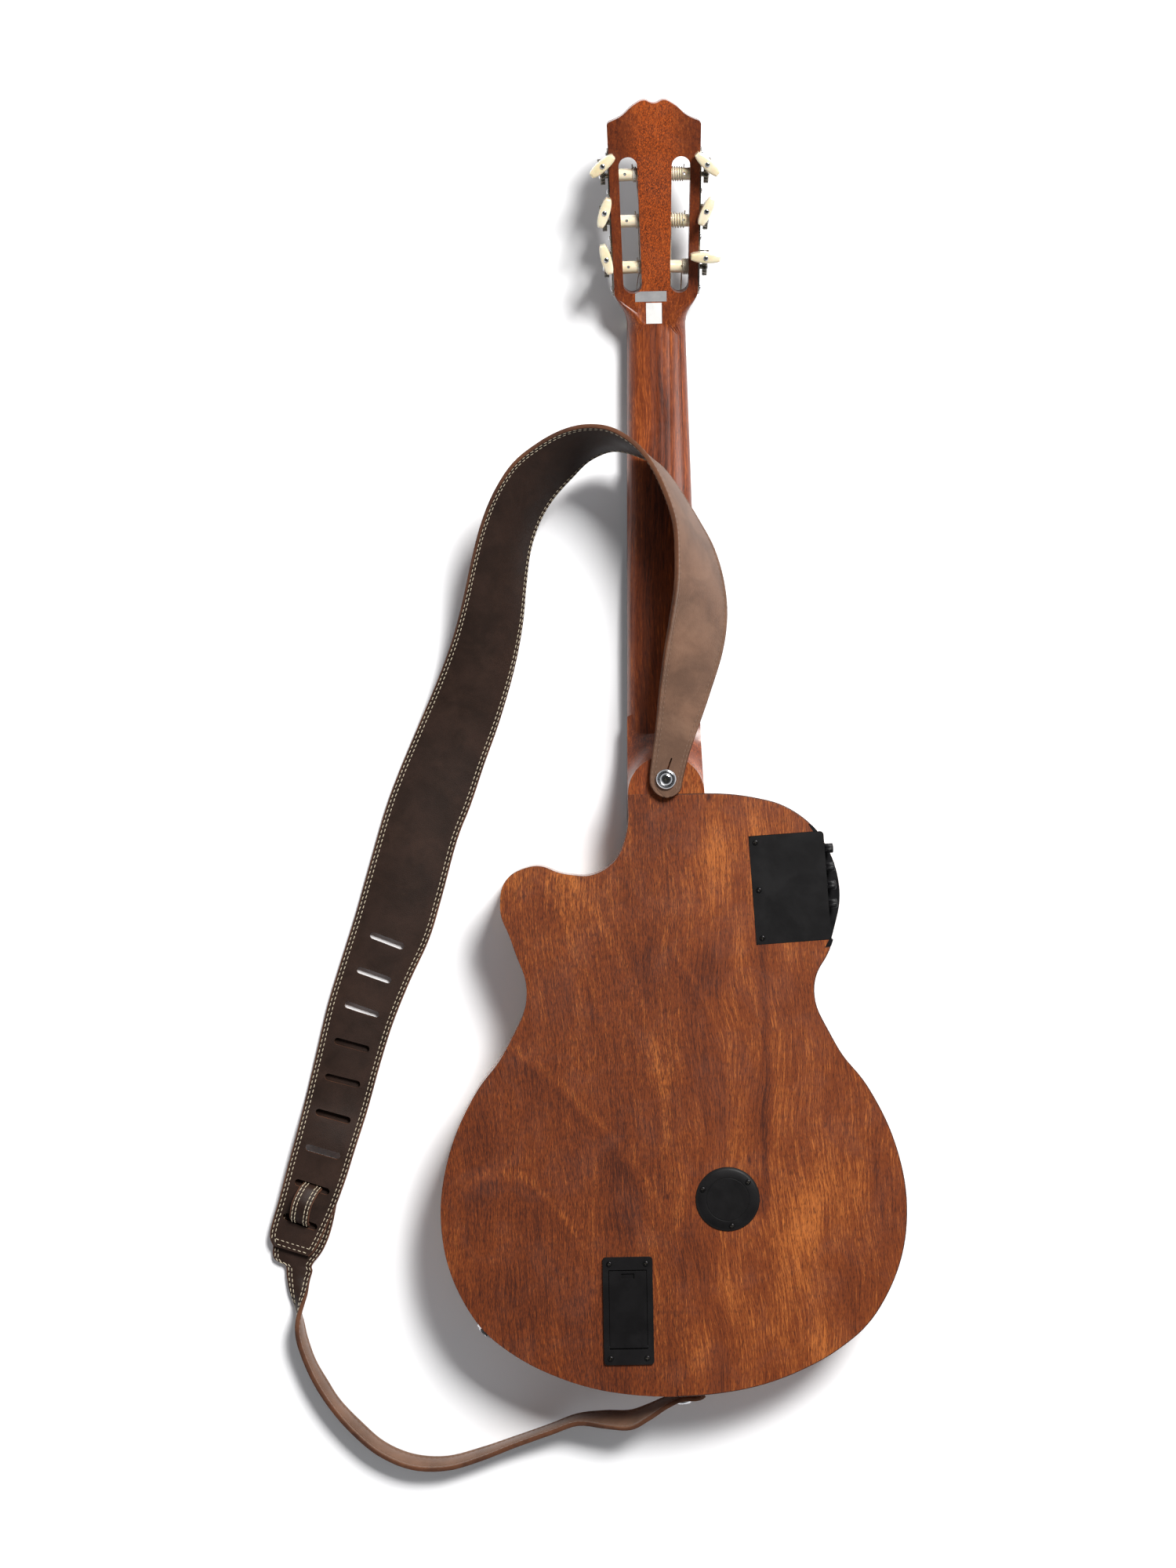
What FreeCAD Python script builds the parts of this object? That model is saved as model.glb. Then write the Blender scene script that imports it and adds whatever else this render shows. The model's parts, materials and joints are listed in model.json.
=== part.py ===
import FreeCAD, Part
import math
import os
from FreeCAD import Vector

# A thin-bodied nylon-string guitar with a cutaway, lying on its face with its strap on.
# The origin is the middle of the nut's bearing face. Y runs to the headstock, X to the
# right of someone who looks at the back, and Z from the strings to the back.

# Shared allowances
overrun = 4.0
running_clearance = 0.05
fit_clearance = 0.15
soft_clearance = 0.3
tiny = 1e-5

# Strings, nut, saddle and frets
scale_length = 650.0
nut_thickness = 5.0
nut_width = 45.0
nut_spread = 37.0
saddle_thickness = 3.0
saddle_width = 76.0
saddle_spread = 59.0
string_height = 4.0
string_diameters = (0.7, 0.8, 1.0, 0.75, 0.9, 1.1)
notch_play = 0.12
joint_fret = 14
fret_count = 19
frets_to_octave = 12
fret_height = 1.1
fret_crown = 2.3
fret_top_share = 0.45
tang_thickness = 0.6
tang_depth = 1.6
fret_inset = 0.6

# Neck and heel
joint_width = 58.0
board_thickness = 6.0
board_overhang = 7.0
neck_wall = 3.5
neck_depth_joint = 18.0
heel_cove_reach = 66.0
heel_cove_depth = 13.0
heel_cap_thickness = 2.2
tenon_width = 22.0
tenon_length = 14.0
tenon_height = 34.0
rod_width = 6.0
rod_depth = 9.0
rod_nut_reach = 12.0

# Headstock, in its own sloping frame: across, along from the nut, depth from its face
headstock_angle = 15.0
headstock_drop = 8.0
headstock_thickness = 19.0
veneer_thickness = 2.0
headstock_base = 22.0
headstock_length = 168.0
headstock_shoulder = 151.5
headstock_low_width = 63.5
headstock_tip_width = 71.5
shoulder_radius = 3.0
crest_x_shares = (0.72, 0.42, 0.23, 0.0)
crest_y_shares = (0.27, 0.80, 1.0, 0.86)
slot_width = 14.2
slot_length = 103.0
slot_offset = 19.0
slot_middle = 74.5
side_splay = 1.5
flare_start = 12.0
throat_shares = (
    (0.0, 0.0, 0.40, 0.42), (0.20, 0.07, 0.52, 0.55), (0.36, 0.19, 0.63, 0.66), (0.54, 0.40, 0.76, 0.78),
    (0.70, 0.65, 0.87, 0.86), (0.86, 0.87, 0.95, 0.92), (1.0, 1.0, 1.0, 0.97),
)
section_points = (1, 1, 8, 6, 8, 1)
cove_points = 7
plate_end_points = 5

# Machine heads, one set of three on each side
tuner_pitch = 35.0
tuner_middle = 77.2
tuner_depth = 9.5
roller_radius = 5.0
roller_sides = 16
spindle_sides = 8
roller_bore_depth = 3.2
roller_hole_radius = 1.1
spindle_radius = 2.0
plate_length = 112.0
plate_height = 14.5
plate_thickness = 1.2
wheel_teeth = 14
wheel_module = 0.9
wheel_width = 3.6
worm_gap = 0.3
wheel_twist = 2.3
tooth_share = 0.4
tooth_slant_share = 0.14
wheel_phase = -1.6
worm_radius = 2.7
worm_turns = 2.25
worm_steps = 8
thread_addendum_share = 0.82
thread_root_share = 1.2
worm_shaft_radius = 1.5
lug_width = 6.0
lug_thickness = 1.2
lug_inner = 5.7
lug_outer = 3.6
button_length = 24.0
button_width = 8.0
button_height = 15.0
button_gap = 1.6
button_bevel = 1.2
button_sides = 12
button_point_share = 0.3
button_screw_radius = 1.9
button_screw_height = 0.9
button_angles = (105.0, 72.0, 40.0, 136.0, 65.0, 176.0)
plate_screw_radius = 2.4
plate_screw_height = 1.3
plate_screw_places = (-51.0, -12.5, 22.5, 51.0)
string_sides = 4
string_tail_share = 1.5
string_bend_shares = (2.0, 2.0, 3.0)
wrap_turns = (1.5, 1.5, 1.5, 1.5, 2.0, 2.0)
wrap_gap = 0.7
turn_samples = 12
wrap_clearance = 0.1
wrap_places = (0.4, -1.0, -1.0, -1.0, -1.0, 0.4)

# Body
body_length = 456.0
lower_bout = 353.0
body_depth = 50.0
top_thickness = 2.6
back_thickness = 2.6
side_thickness = 2.2
inner_facets = 56
lining_width = 6.0
lining_height = 11.0
block_length = 26.0
block_width = 46.0
block_offset = 5.0
tail_block_width = 34.0
tail_block_length = 14.0
right_bout_shares = (
    (0.368, 0.0075), (0.504, 0.023), (0.634, 0.061), (0.742, 0.159), (0.702, 0.249), (0.620, 0.324),
)
lower_bout_shares = (
    (0.708, 0.420), (0.850, 0.497), (0.945, 0.575), (1.0, 0.693), (0.977, 0.769), (0.919, 0.829),
    (0.822, 0.886), (0.690, 0.928), (0.493, 0.967), (0.0, 1.0),
)
horn_shares = (
    (-0.614, 0.328), (-0.674, 0.242), (-0.721, 0.185), (-0.695, 0.139), (-0.588, 0.1165),
    (-0.422, 0.131), (-0.334, 0.133), (-0.220, 0.107), (-0.177, 0.070),
)

# Soundhole, braces and bridge
soundhole_radius = 42.5
soundhole_down = 120.0
brace_width = 6.0
brace_height = 8.0
harmonic_bar_height = 14.0
harmonic_bar_places = (72.0, 170.0)
fan_length = 190.0
fan_spread_shares = (-0.24, -0.12, 0.0, 0.12, 0.24)
fan_splay = 7.0
back_brace_places = (60.0, 178.0, 255.0, 345.0)
seam_strip_width = 16.0
seam_strip_thickness = 2.0
bridge_length = 190.0
bridge_width = 28.0
bridge_height = 8.2
bridge_wing_height = 4.5
tie_block_length = 84.0
bridge_ahead = 7.5
saddle_slot_depth = 4.5
saddle_height_in_slot = 3.5
tie_groove_width = 5.0
saddle_wall_drop = 2.7
tie_groove_depth = 5.2
tie_hole_play = 0.5
tie_hole_depth = 4.2
bridge_plate_thickness = 2.2
bridge_plate_width = 34.0
pickup_thickness = 0.9

# Preamplifier let into the upper bout
preamp_x = 92.3
preamp_down = 72.7
preamp_tilt = 3.2
preamp_width = 57.0
preamp_length = 82.5
preamp_end_wall = 5.0
preamp_wall = 2.2
preamp_depth = 27.0
preamp_cover_thickness = 2.4
preamp_cover_corner = 3.0
preamp_floor = 3.0
preamp_lip = 1.2
board_plate_thickness = 1.6
knob_radius = 3.75
knob_length = 6.5
knob_gap = 0.4
knob_pitch = 14.0
knob_first = 27.5
knob_drop = 9.5
knob_shaft_radius = 1.5
knob_flutes = 10
flute_depth = 0.4
pot_size = 9.0
pot_depth = 8.0

# Round cover, battery box and output jack
round_cover_x = 40.8
round_cover_share = 0.6737
round_cover_radius = 24.3
round_cover_thickness = 2.0
round_cover_hole = 17.5
round_cover_sides = 40
round_cover_screws = (157.0, 39.5, -82.0)
round_cover_screw_ring = 20.3
battery_x = -35.9
battery_share = 0.8557
battery_frame_width = 37.8
battery_frame_length = 81.5
battery_frame_lip = 1.8
battery_frame_corner = 2.5
battery_bay_width = 29.0
battery_bay_length = 60.0
battery_bay_depth = 22.0
battery_bay_offset = 1.0
battery_wall = 1.6
battery_door_thickness = 2.4
battery_hinge_radius = 1.3
battery_door_play = 0.35
battery_latch_width = 10.0
battery_latch_length = 4.0
battery_width = 26.0
battery_length = 48.5
battery_height = 17.0
battery_terminal_radius = 2.9
battery_terminal_height = 1.6
battery_screw_inset = 5.0
jack_plate_length = 40.0
jack_plate_height = 22.0
jack_plate_thickness = 1.5
jack_plate_facet = 6.0
jack_screw_spread = 33.0
jack_share = 0.8893
jack_bush_radius = 4.7
jack_bush_reach = 4.6
jack_nut_radius = 7.0
jack_nut_height = 2.2
jack_bore = 3.25
jack_bore_length = 30.0
jack_body_radius = 6.2
jack_body_length = 32.0

# Fasteners and strap buttons
screw_head_radius = 2.5
screw_head_height = 1.2
screw_shank_radius = 1.2
screw_length = 7.0
screw_sides = 8
screw_crown_share = 0.7
shank_sides = 6
button_base_radius = 5.5
button_neck_radius = 3.2
strap_button_radius = 7.7
strap_button_base = 2.4
strap_button_neck = 4.6
strap_button_head = 3.2
strap_button_rim = 1.0
strap_button_sides = 16
crown_radius_share = 0.75
crown_height_share = 0.78
crown_top_share = 0.3
heel_button_reach = 11.2
end_button_x = 4.0

# Strap, in leather
strap_thickness = 3.5
strap_pin_radius = 3.7
strap_slot_width = 5.4
strap_slot_length = 28.0
strap_slot_pitch = 28.4
strap_slot_count = 9
strap_slot_start = 744.0
tongue_width = 17.0
tongue_thickness = 2.6

# Lead wires inside the body
wire_diameter = 2.4
lead_bend = 8.0
lead_spread = 15.0
lead_reach = 30.0
battery_lead = ((20.0, -560.0), (-20.0, -640.0))
jack_lead = ((50.0, -620.0), (0.0, -700.0))

# Places worked out from the sizes above
glue_z = board_thickness + string_height
top_inner_z = glue_z + top_thickness
back_z = glue_z + body_depth
back_inner_z = back_z - back_thickness
nut_back_y = nut_thickness / 2
nut_front_y = -nut_thickness / 2
half_lower_bout = lower_bout / 2


def fret_distance(fret):
    return scale_length * (1 - 2 ** (-fret / frets_to_octave))


body_top_y = nut_front_y - fret_distance(joint_fret)
saddle_y = nut_front_y - scale_length
soundhole_y = body_top_y - soundhole_down
board_end_y = nut_front_y - fret_distance(fret_count) - board_overhang
width_slope = (joint_width - nut_width) / fret_distance(joint_fret)
slope = math.radians(headstock_angle)
neck_depth_nut = headstock_drop + headstock_thickness * math.cos(slope) - glue_z
transition_y = -flare_start
origin = Vector()
across = Vector(1, 0, 0)
along = Vector(0, 1, 0)
upward = Vector(0, 0, 1)


def neck_width_at(y):
    return nut_width + (nut_front_y - y) * width_slope


def straight(start, end):
    return Part.LineSegment(start, end).toShape()


def tangent_arc(start, heading, end):
    """The arc from start to end that leaves start along heading, or a straight edge."""
    chord = end - start
    unit = chord / chord.Length
    sideways = heading - unit * heading.dot(unit)
    if sideways.Length < tiny:
        return straight(start, end), heading
    half_turn = math.atan2(sideways.Length, heading.dot(unit))
    bulge = sideways / sideways.Length * (chord.Length / 2 * math.tan(half_turn / 2))
    middle = (start + end) / 2 + bulge
    leaving = unit * (2 * heading.dot(unit)) - heading
    return Part.Arc(start, middle, end).toShape(), leaving


def biarc(start, heading, end, arrival):
    """Two arcs that join smoothly, from start along heading to end along arrival."""
    gap = end - start
    both = heading + arrival
    spread = 2 * (1 - heading.dot(arrival))
    if spread < tiny**2:
        reach = gap.dot(gap) / (4 * gap.dot(arrival))
    else:
        reach = (math.sqrt(gap.dot(both) ** 2 + spread * gap.dot(gap)) - gap.dot(both)) / spread
    joint = (start + heading * reach + end - arrival * reach) / 2
    first, turned_heading = tangent_arc(start, heading, joint)
    second, _ = tangent_arc(joint, turned_heading, end)
    return [first, second]


def unit(vector):
    return vector / vector.Length


def smooth_edges(points, first_heading, last_heading):
    """Tangent arcs through the points, each heading that of the circle through three."""
    headings = [unit(first_heading)]
    for before, here, after in zip(points, points[1:], points[2:]):
        inward, outward = here - before, after - here
        headings.append(unit(unit(inward) * outward.Length + unit(outward) * inward.Length))
    headings.append(unit(last_heading))
    edges = []
    for place in range(len(points) - 1):
        edges += biarc(points[place], headings[place], points[place + 1], headings[place + 1])
    return edges


def prism(wire, low, high):
    """The flat closed wire, drawn at height zero, as a solid from low to high."""
    face = Part.Face(wire)
    face.translate(upward * low)
    return face.extrude(upward * (high - low))


def block(x, y, low, high, width, length):
    """A box centred on x and y, from low to high."""
    return Part.makeBox(width, length, high - low, Vector(x - width / 2, y - length / 2, low))


def rod(radius, start, end):
    return Part.makeCylinder(radius, (end - start).Length, start, end - start)


def flat_sided(radius, start, end, sides, bore=False):
    """A rod with flat sides, its corners on the radius, or a bore whose flats clear it."""
    reach = radius / math.cos(math.pi / sides) if bore else radius
    axis = unit(end - start)
    sideways = unit(axis.cross(across if abs(axis.x) < abs(axis.z) + abs(axis.y) else along))
    upright = axis.cross(sideways)
    corners = [
        start + sideways * (reach * math.cos(2 * math.pi * c / sides))
        + upright * (reach * math.sin(2 * math.pi * c / sides))
        for c in range(sides + 1)
    ]
    return Part.Face(Part.makePolygon(corners)).extrude(end - start)


def faceted(rings):
    """A closed solid of flat triangles between rings of points, with a flat cap at each end."""
    faces = []
    for low, high in zip(rings, rings[1:]):
        for corner in range(len(low)):
            after = (corner + 1) % len(low)
            a, b, c, d = low[corner], low[after], high[after], high[corner]
            faces.append(Part.Face(Part.makePolygon([a, b, c, a])))
            faces.append(Part.Face(Part.makePolygon([a, c, d, a])))
    for ring in (rings[0], rings[-1]):
        faces.append(Part.Face(Part.makePolygon(ring + ring[:1])))
    solid = Part.Solid(Part.makeShell(faces))
    return solid if solid.Volume > 0 else solid.reversed()


def rounded_block(width, length, low, high, corner):
    """A box centred on the vertical axis whose upright corners are round."""
    solid = block(0, 0, low, high, width, length)
    upright = [e for e in solid.Edges if abs(e.Vertexes[0].Z - e.Vertexes[1].Z) > (high - low) / 2]
    return solid.makeFillet(corner, upright)


def oval(length, width):
    """A long flat outline along Y with half-round ends in flat facets, as a closed wire."""
    reach, radius = (length - width) / 2, width / 2
    turns = [math.pi * c / plate_end_points for c in range(plate_end_points + 1)]
    corners = [Vector(radius * math.cos(t), reach + radius * math.sin(t), 0) for t in turns]
    corners += [-corner for corner in corners]
    return Part.makePolygon(corners + corners[:1])


def moved(shape, *places):
    """The shape carried through each placement in turn, the first one outermost."""
    result = shape.copy()
    for place in reversed(places):
        result.Placement = place.multiply(result.Placement)
    return result


def place(x=0, y=0, z=0, angle=0, axis=upward):
    return FreeCAD.Placement(Vector(x, y, z), FreeCAD.Rotation(axis, angle))


def rounded_path(points, radii):
    """Straight runs through the points, joined by an arc of the given radius at each corner."""
    edges, start = [], points[0]
    for here, after, radius in zip(points[1:], points[2:], radii):
        arriving, leaving = unit(here - start), unit(after - here)
        turn = arriving.getAngle(leaving)
        setback = radius * math.tan(turn / 2)
        first, last = here - arriving * setback, here + leaving * setback
        middle = here + unit(leaving - arriving) * (radius / math.cos(turn / 2) - radius)
        edges += [straight(start, first), Part.Arc(first, middle, last).toShape()]
        start = last
    edges.append(straight(start, points[-1]))
    return edges


def tube(edges, diameter, sides):
    """One unbroken tube with a flat-sided section along tangent edges."""
    start = edges[0].valueAt(edges[0].FirstParameter)
    heading = edges[0].tangentAt(edges[0].FirstParameter)
    ring = Part.makePolygon([
        Vector(diameter / 2 * math.cos(2 * math.pi * side / sides),
               diameter / 2 * math.sin(2 * math.pi * side / sides), 0)
        for side in range(sides + 1)
    ])
    ring.Placement = FreeCAD.Placement(start, FreeCAD.Rotation(upward, heading))
    return Part.Wire(edges).makePipeShell([ring], True, False)


# The headstock's frames

def on_headstock():
    return place(0, nut_back_y, headstock_drop, headstock_angle, across)


def side_place(side):
    """The frame of one row of machine heads, whose origin is on the slot's middle line."""
    swing = place(side * slot_offset, tuner_middle, 0, -side * side_splay)
    return on_headstock().multiply(swing)


def seat_on_side(shape, side):
    shape = shape if side > 0 else shape.mirror(origin, across)
    return moved(shape, side_place(side))


def side_point(side, outward, forward, depth):
    return side_place(side).multVec(Vector(side * outward, forward, depth))


# The body's outline

def body_point(across_share, down_share):
    return Vector(across_share * half_lower_bout, body_top_y - down_share * body_length, 0)


def body_outline():
    left_lower = [(-x, y) for x, y in reversed(lower_bout_shares[:-1])]
    shares = right_bout_shares + lower_bout_shares + tuple(left_lower) + horn_shares
    points = [Vector(joint_width / 2, body_top_y, 0)]
    points += [body_point(x, y) for x, y in shares]
    points.append(Vector(-joint_width / 2, body_top_y, 0))
    edges = smooth_edges(points, across, along)
    edges.append(straight(points[-1], points[0]))
    return Part.Wire(edges)


outline = body_outline()


def body_slab(inset, low, high):
    """The body's outline as a slab; inside the thin side it is drawn with flat facets."""
    if not inset:
        return prism(outline, low, high)
    inner = outline.makeOffset2D(-inset)
    corners = inner.discretize(inner_facets + 1)
    return prism(Part.makePolygon(corners[:-1] + corners[:1]), low, high)


def preamp_place():
    return place(preamp_x, body_top_y - preamp_down, 0, preamp_tilt)


def jack_spot():
    """The point of the outline where the jack sits, and the outward direction there."""
    y = body_top_y - body_length * jack_share
    line = straight(Vector(-lower_bout, y, 0), Vector(0, y, 0))
    spot = outline.distToShape(line)[1][0][0]
    edge = min(outline.Edges, key=lambda e: e.distToShape(Part.Vertex(spot))[0])
    heading = edge.tangentAt(edge.Curve.parameter(spot))
    normal = unit(heading.cross(upward))
    outward = normal if normal.dot(spot - body_point(0, soundhole_down / body_length)) > 0 else -normal
    return spot, outward


def screw(head_radius, head_height, length):
    """A screw that points down, the underside of its low head at height zero."""
    turns = [2 * math.pi * c / screw_sides for c in range(screw_sides)]
    head = faceted([
        [Vector(r * math.cos(t), r * math.sin(t), z) for t in turns]
        for r, z in ((head_radius, 0), (head_radius * screw_crown_share, head_height))
    ])
    return head.fuse(flat_sided(screw_shank_radius, Vector(0, 0, -length), origin, shank_sides))


# Neck, fingerboard, frets and nut

def neck_section(y, width, depth):
    """The neck's round section: a flat glue face, short walls and a back of three arcs."""
    half, wall = width / 2, glue_z + neck_wall
    right, left = Vector(half, y, wall), Vector(-half, y, wall)
    middle = Vector(0, y, glue_z + depth)
    corner, crown = biarc(right, upward, middle, -across)
    joint = crown.Vertexes[0].Point
    return section_wire(y, half, wall, Vector(joint.x, y, joint.z), middle)


def section_wire(y, half, wall, shoulder, middle):
    """A section through its walls' top, the shoulder where its corner ends, and its middle."""
    low_right, low_left = Vector(half, y, glue_z), Vector(-half, y, glue_z)
    right, left = Vector(half, y, wall), Vector(-half, y, wall)
    mirrored = Vector(-shoulder.x, y, shoulder.z)
    corner, _ = tangent_arc(right, upward, shoulder)
    bend = corner.valueAt((corner.FirstParameter + corner.LastParameter) / 2)
    far_corner = Part.Arc(mirrored, Vector(-bend.x, y, bend.z), left).toShape()
    if middle.z - shoulder.z < running_clearance:
        crown = straight(shoulder, mirrored)
    else:
        crown = Part.Arc(shoulder, middle, mirrored).toShape()
    return Part.Wire([
        straight(low_left, low_right), straight(low_right, right), corner, crown, far_corner,
        straight(left, low_left)])


def section_ring(wire, seat):
    """The section's edges as a ring of points, carried to its seat."""
    points = []
    for edge, count in zip(wire.Edges, section_points):
        points += edge.discretize(count + 1)[:-1]
    return [seat.multVec(point) for point in points]


def throat():
    """The neck's round back turns into the headstock's flat one while its flanks flare out."""
    rings = [section_ring(neck_section(transition_y, neck_width_at(transition_y), neck_depth_nut), place())]
    depth = headstock_thickness - veneer_thickness
    for forward, spread, flat, wall in throat_shares:
        half = (nut_width + (headstock_low_width - nut_width) * spread) / 2
        shoulder = Vector(half * flat - shoulder_radius * (1 - wall), 0, glue_z + depth)
        wire = section_wire(0, half, glue_z + depth * wall, shoulder, shoulder)
        seat = on_headstock().multiply(place(0, forward * headstock_base, veneer_thickness - glue_z))
        rings.append(section_ring(wire, seat))
    return faceted(rings)


def heel_clip(low, high):
    """The space between the neck's flanks, from the body outward."""
    reach = heel_cove_reach + overrun
    far = neck_width_at(body_top_y + reach) / 2
    corners = [
        Vector(-joint_width / 2, body_top_y, 0), Vector(joint_width / 2, body_top_y, 0),
        Vector(far, body_top_y + reach, 0), Vector(-far, body_top_y + reach, 0)]
    return prism(Part.makePolygon(corners + corners[:1]), low, high)


def heel():
    """The heel, turned about the middle of the joint, with a cove that runs into the neck."""
    top, low = back_z - heel_cap_thickness, glue_z + neck_wall
    rim, foot = Vector(joint_width / 2, 0, top), Vector(heel_cove_reach, 0, glue_z + heel_cove_depth)
    cove, _ = tangent_arc(rim, -upward, foot)
    corners = cove.discretize(cove_points) + [
        Vector(foot.x, 0, low), Vector(0, 0, low), Vector(0, 0, top), rim]
    profile = Part.makePolygon(corners)
    turned = Part.Face(profile).revolve(origin, upward, 180)
    turned.translate(along * body_top_y)
    return turned.common(heel_clip(low, top))


def headstock_outline():
    half_low, half_tip = headstock_low_width / 2, headstock_tip_width / 2
    rise = headstock_length - headstock_shoulder
    crest = [
        Vector(x * half_tip, headstock_shoulder + y * rise, 0)
        for x, y in zip(crest_x_shares, crest_y_shares)
    ]
    shoulder = Vector(half_tip, headstock_shoulder, 0)
    mirrored = [Vector(-p.x, p.y, 0) for p in reversed(crest[:-1])]
    left_shoulder = Vector(-half_tip, headstock_shoulder, 0)
    first = unit(crest[0] - shoulder)
    edges = [straight(Vector(-half_low, headstock_base, 0), Vector(half_low, headstock_base, 0))]
    edges.append(straight(Vector(half_low, headstock_base, 0), shoulder))
    edges += smooth_edges([shoulder] + crest + mirrored + [left_shoulder], first, Vector(first.x, -first.y, 0))
    edges.append(straight(left_shoulder, Vector(-half_low, headstock_base, 0)))
    return Part.Wire(edges)


def slot_cutter(side, low, high):
    """One slot of the headstock, with round ends."""
    reach = (slot_length - slot_width) / 2
    middle = block(0, 0, low, high, slot_width, 2 * reach)
    ends = [
        Part.makeCylinder(slot_width / 2, high - low, Vector(0, end * reach, low)) for end in (-1, 1)
    ]
    cutter = middle.fuse(ends).removeSplitter()
    return moved(cutter, place(side * slot_offset, slot_middle, 0, -side * side_splay))


def headstock_body(low, high):
    solid = prism(headstock_outline(), low, high)
    corners = [
        e for e in solid.Edges
        if len(e.Vertexes) == 2 and abs(e.Vertexes[0].Z - e.Vertexes[1].Z) > (high - low) / 2
        and abs(e.Vertexes[0].Y - headstock_shoulder) < shoulder_radius
    ]
    solid = solid.makeFillet(shoulder_radius, corners)
    for side in (-1, 1):
        solid = solid.cut(slot_cutter(side, low - overrun, high + overrun))
    return solid


slot_side = slot_width / 2
side_face = headstock_low_width / 2 + (tuner_middle - headstock_base) * (
    (headstock_tip_width - headstock_low_width) / 2 / (headstock_shoulder - headstock_base)) - slot_offset
plate_face = side_face + plate_thickness
worm_axis = plate_face + worm_gap + worm_radius + thread_addendum_share * wheel_module
wheel_inner = worm_axis - wheel_width / 2
wheel_outer = worm_axis + wheel_width / 2
wheel_pitch_radius = wheel_module * wheel_teeth / 2
centre_distance = wheel_pitch_radius + worm_radius
worm_lead = math.pi * wheel_module
tuner_places = (-tuner_pitch, 0.0, tuner_pitch)


def roller_bores(side):
    """The bores for one side's three rollers, through the rail and into the middle rib."""
    bores = []
    for forward in tuner_places:
        start = Vector(-slot_side - roller_bore_depth, forward, tuner_depth)
        end = Vector(side_face + overrun, forward, tuner_depth)
        bores.append(flat_sided(roller_radius + running_clearance, start, end, roller_sides, True))
    return [moved(b if side > 0 else b.mirror(origin, across), place(
        side * slot_offset, tuner_middle, 0, -side * side_splay)) for b in bores]


def plate_seat(side):
    """Squares the headstock's flank where the machine head's plate lies on it."""
    seat = Part.makeBox(overrun, plate_length + 2 * fit_clearance, headstock_thickness + 2 * overrun,
                        Vector(side_face, -plate_length / 2 - fit_clearance, -overrun))
    seat = seat if side > 0 else seat.mirror(origin, across)
    return moved(seat, place(side * slot_offset, tuner_middle, 0, -side * side_splay))


def nut_seat(high):
    """The space on the near side of the nut's back, up to a height."""
    reach = body_depth
    return Part.makeBox(reach * 2, reach, high + reach, Vector(-reach, nut_back_y - reach, -reach))


def neck():
    """Shaft, throat, headstock and heel in one piece of wood, with a tenon and a rod channel."""
    shaft = faceted([
        section_ring(neck_section(nut_back_y, neck_width_at(nut_back_y), neck_depth_nut), place()),
        section_ring(neck_section(body_top_y, joint_width, neck_depth_joint), place()),
    ])
    head = moved(headstock_body(veneer_thickness, headstock_thickness), on_headstock())
    for side in (-1, 1):
        head = head.cut([moved(b, on_headstock()) for b in roller_bores(side) + [plate_seat(side)]])
    tenon = block(0, body_top_y - tenon_length / 2, top_inner_z, top_inner_z + tenon_height,
                  tenon_width, tenon_length)
    solid = shaft.fuse([throat(), head, heel(), tenon])
    channel = block(0, (nut_front_y * 2 + body_top_y) / 2, glue_z - overrun, glue_z + rod_depth,
                    rod_width, nut_front_y * 2 - body_top_y)
    return solid.cut([channel, nut_seat(glue_z)]).removeSplitter()


def headstock_veneer():
    halves = [(forward * headstock_base, (nut_width + (headstock_low_width - nut_width) * spread) / 2)
              for forward, spread, _, _ in throat_shares]
    corners = [Vector(half, forward, 0) for forward, half in halves]
    corners += [Vector(-half, forward, 0) for forward, half in reversed(halves)]
    lower = Part.makePolygon(corners + corners[:1])
    sheet = headstock_body(0, veneer_thickness).fuse(prism(lower, 0, veneer_thickness)).removeSplitter()
    return moved(sheet.cut([plate_seat(side) for side in (-1, 1)]), on_headstock()).cut(nut_seat(back_z))


def fingerboard():
    end_width = neck_width_at(board_end_y)
    corners = [
        Vector(-nut_width / 2, nut_front_y, 0), Vector(nut_width / 2, nut_front_y, 0),
        Vector(end_width / 2, board_end_y, 0), Vector(-end_width / 2, board_end_y, 0),
    ]
    board = prism(Part.makePolygon(corners + corners[:1]), string_height, glue_z)
    for fret in range(1, fret_count + 1):
        y = nut_front_y - fret_distance(fret)
        board = board.cut(block(0, y, string_height - overrun, string_height + tang_depth,
                                neck_width_at(y) + overrun, tang_thickness))
    return board


def frets():
    """Each fret's crown stands on the board, and its tang fills the slot below."""
    made = []
    for fret in range(1, fret_count + 1):
        y = nut_front_y - fret_distance(fret)
        width = neck_width_at(y) - 2 * fret_inset
        left = -width / 2
        low, high = string_height - fret_height, string_height
        crown = Part.makePolygon([
            Vector(left, y + half * fret_crown / 2, z)
            for half, z in ((-1, high), (-fret_top_share, low), (fret_top_share, low), (1, high), (-1, high))
        ])
        solid = Part.Face(crown).extrude(across * width)
        tang = block(0, y, high, high + tang_depth, width, tang_thickness)
        made.append(solid.fuse(tang).removeSplitter())
    return Part.makeCompound(made)


def string_x(number, spread):
    """A string's place across the nut or saddle; the first string is the thinnest."""
    return spread * (number / (len(string_diameters) - 1) - 1 / 2)


def diameter_of(number):
    return string_diameters[number]


def bearing_z(number):
    return notch_play / 2 + diameter_of(number) / 2


def notches(y, thickness, spread):
    cutters = []
    for number in range(len(string_diameters)):
        width = diameter_of(number) + notch_play
        depth = diameter_of(number) + notch_play
        cutters.append(block(string_x(number, spread), y, -overrun, depth, width, thickness + overrun))
    return cutters


def nut():
    top = block(0, 0, 0, glue_z, nut_width, nut_thickness)
    return top.cut(notches(0, nut_thickness, nut_spread))


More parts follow.
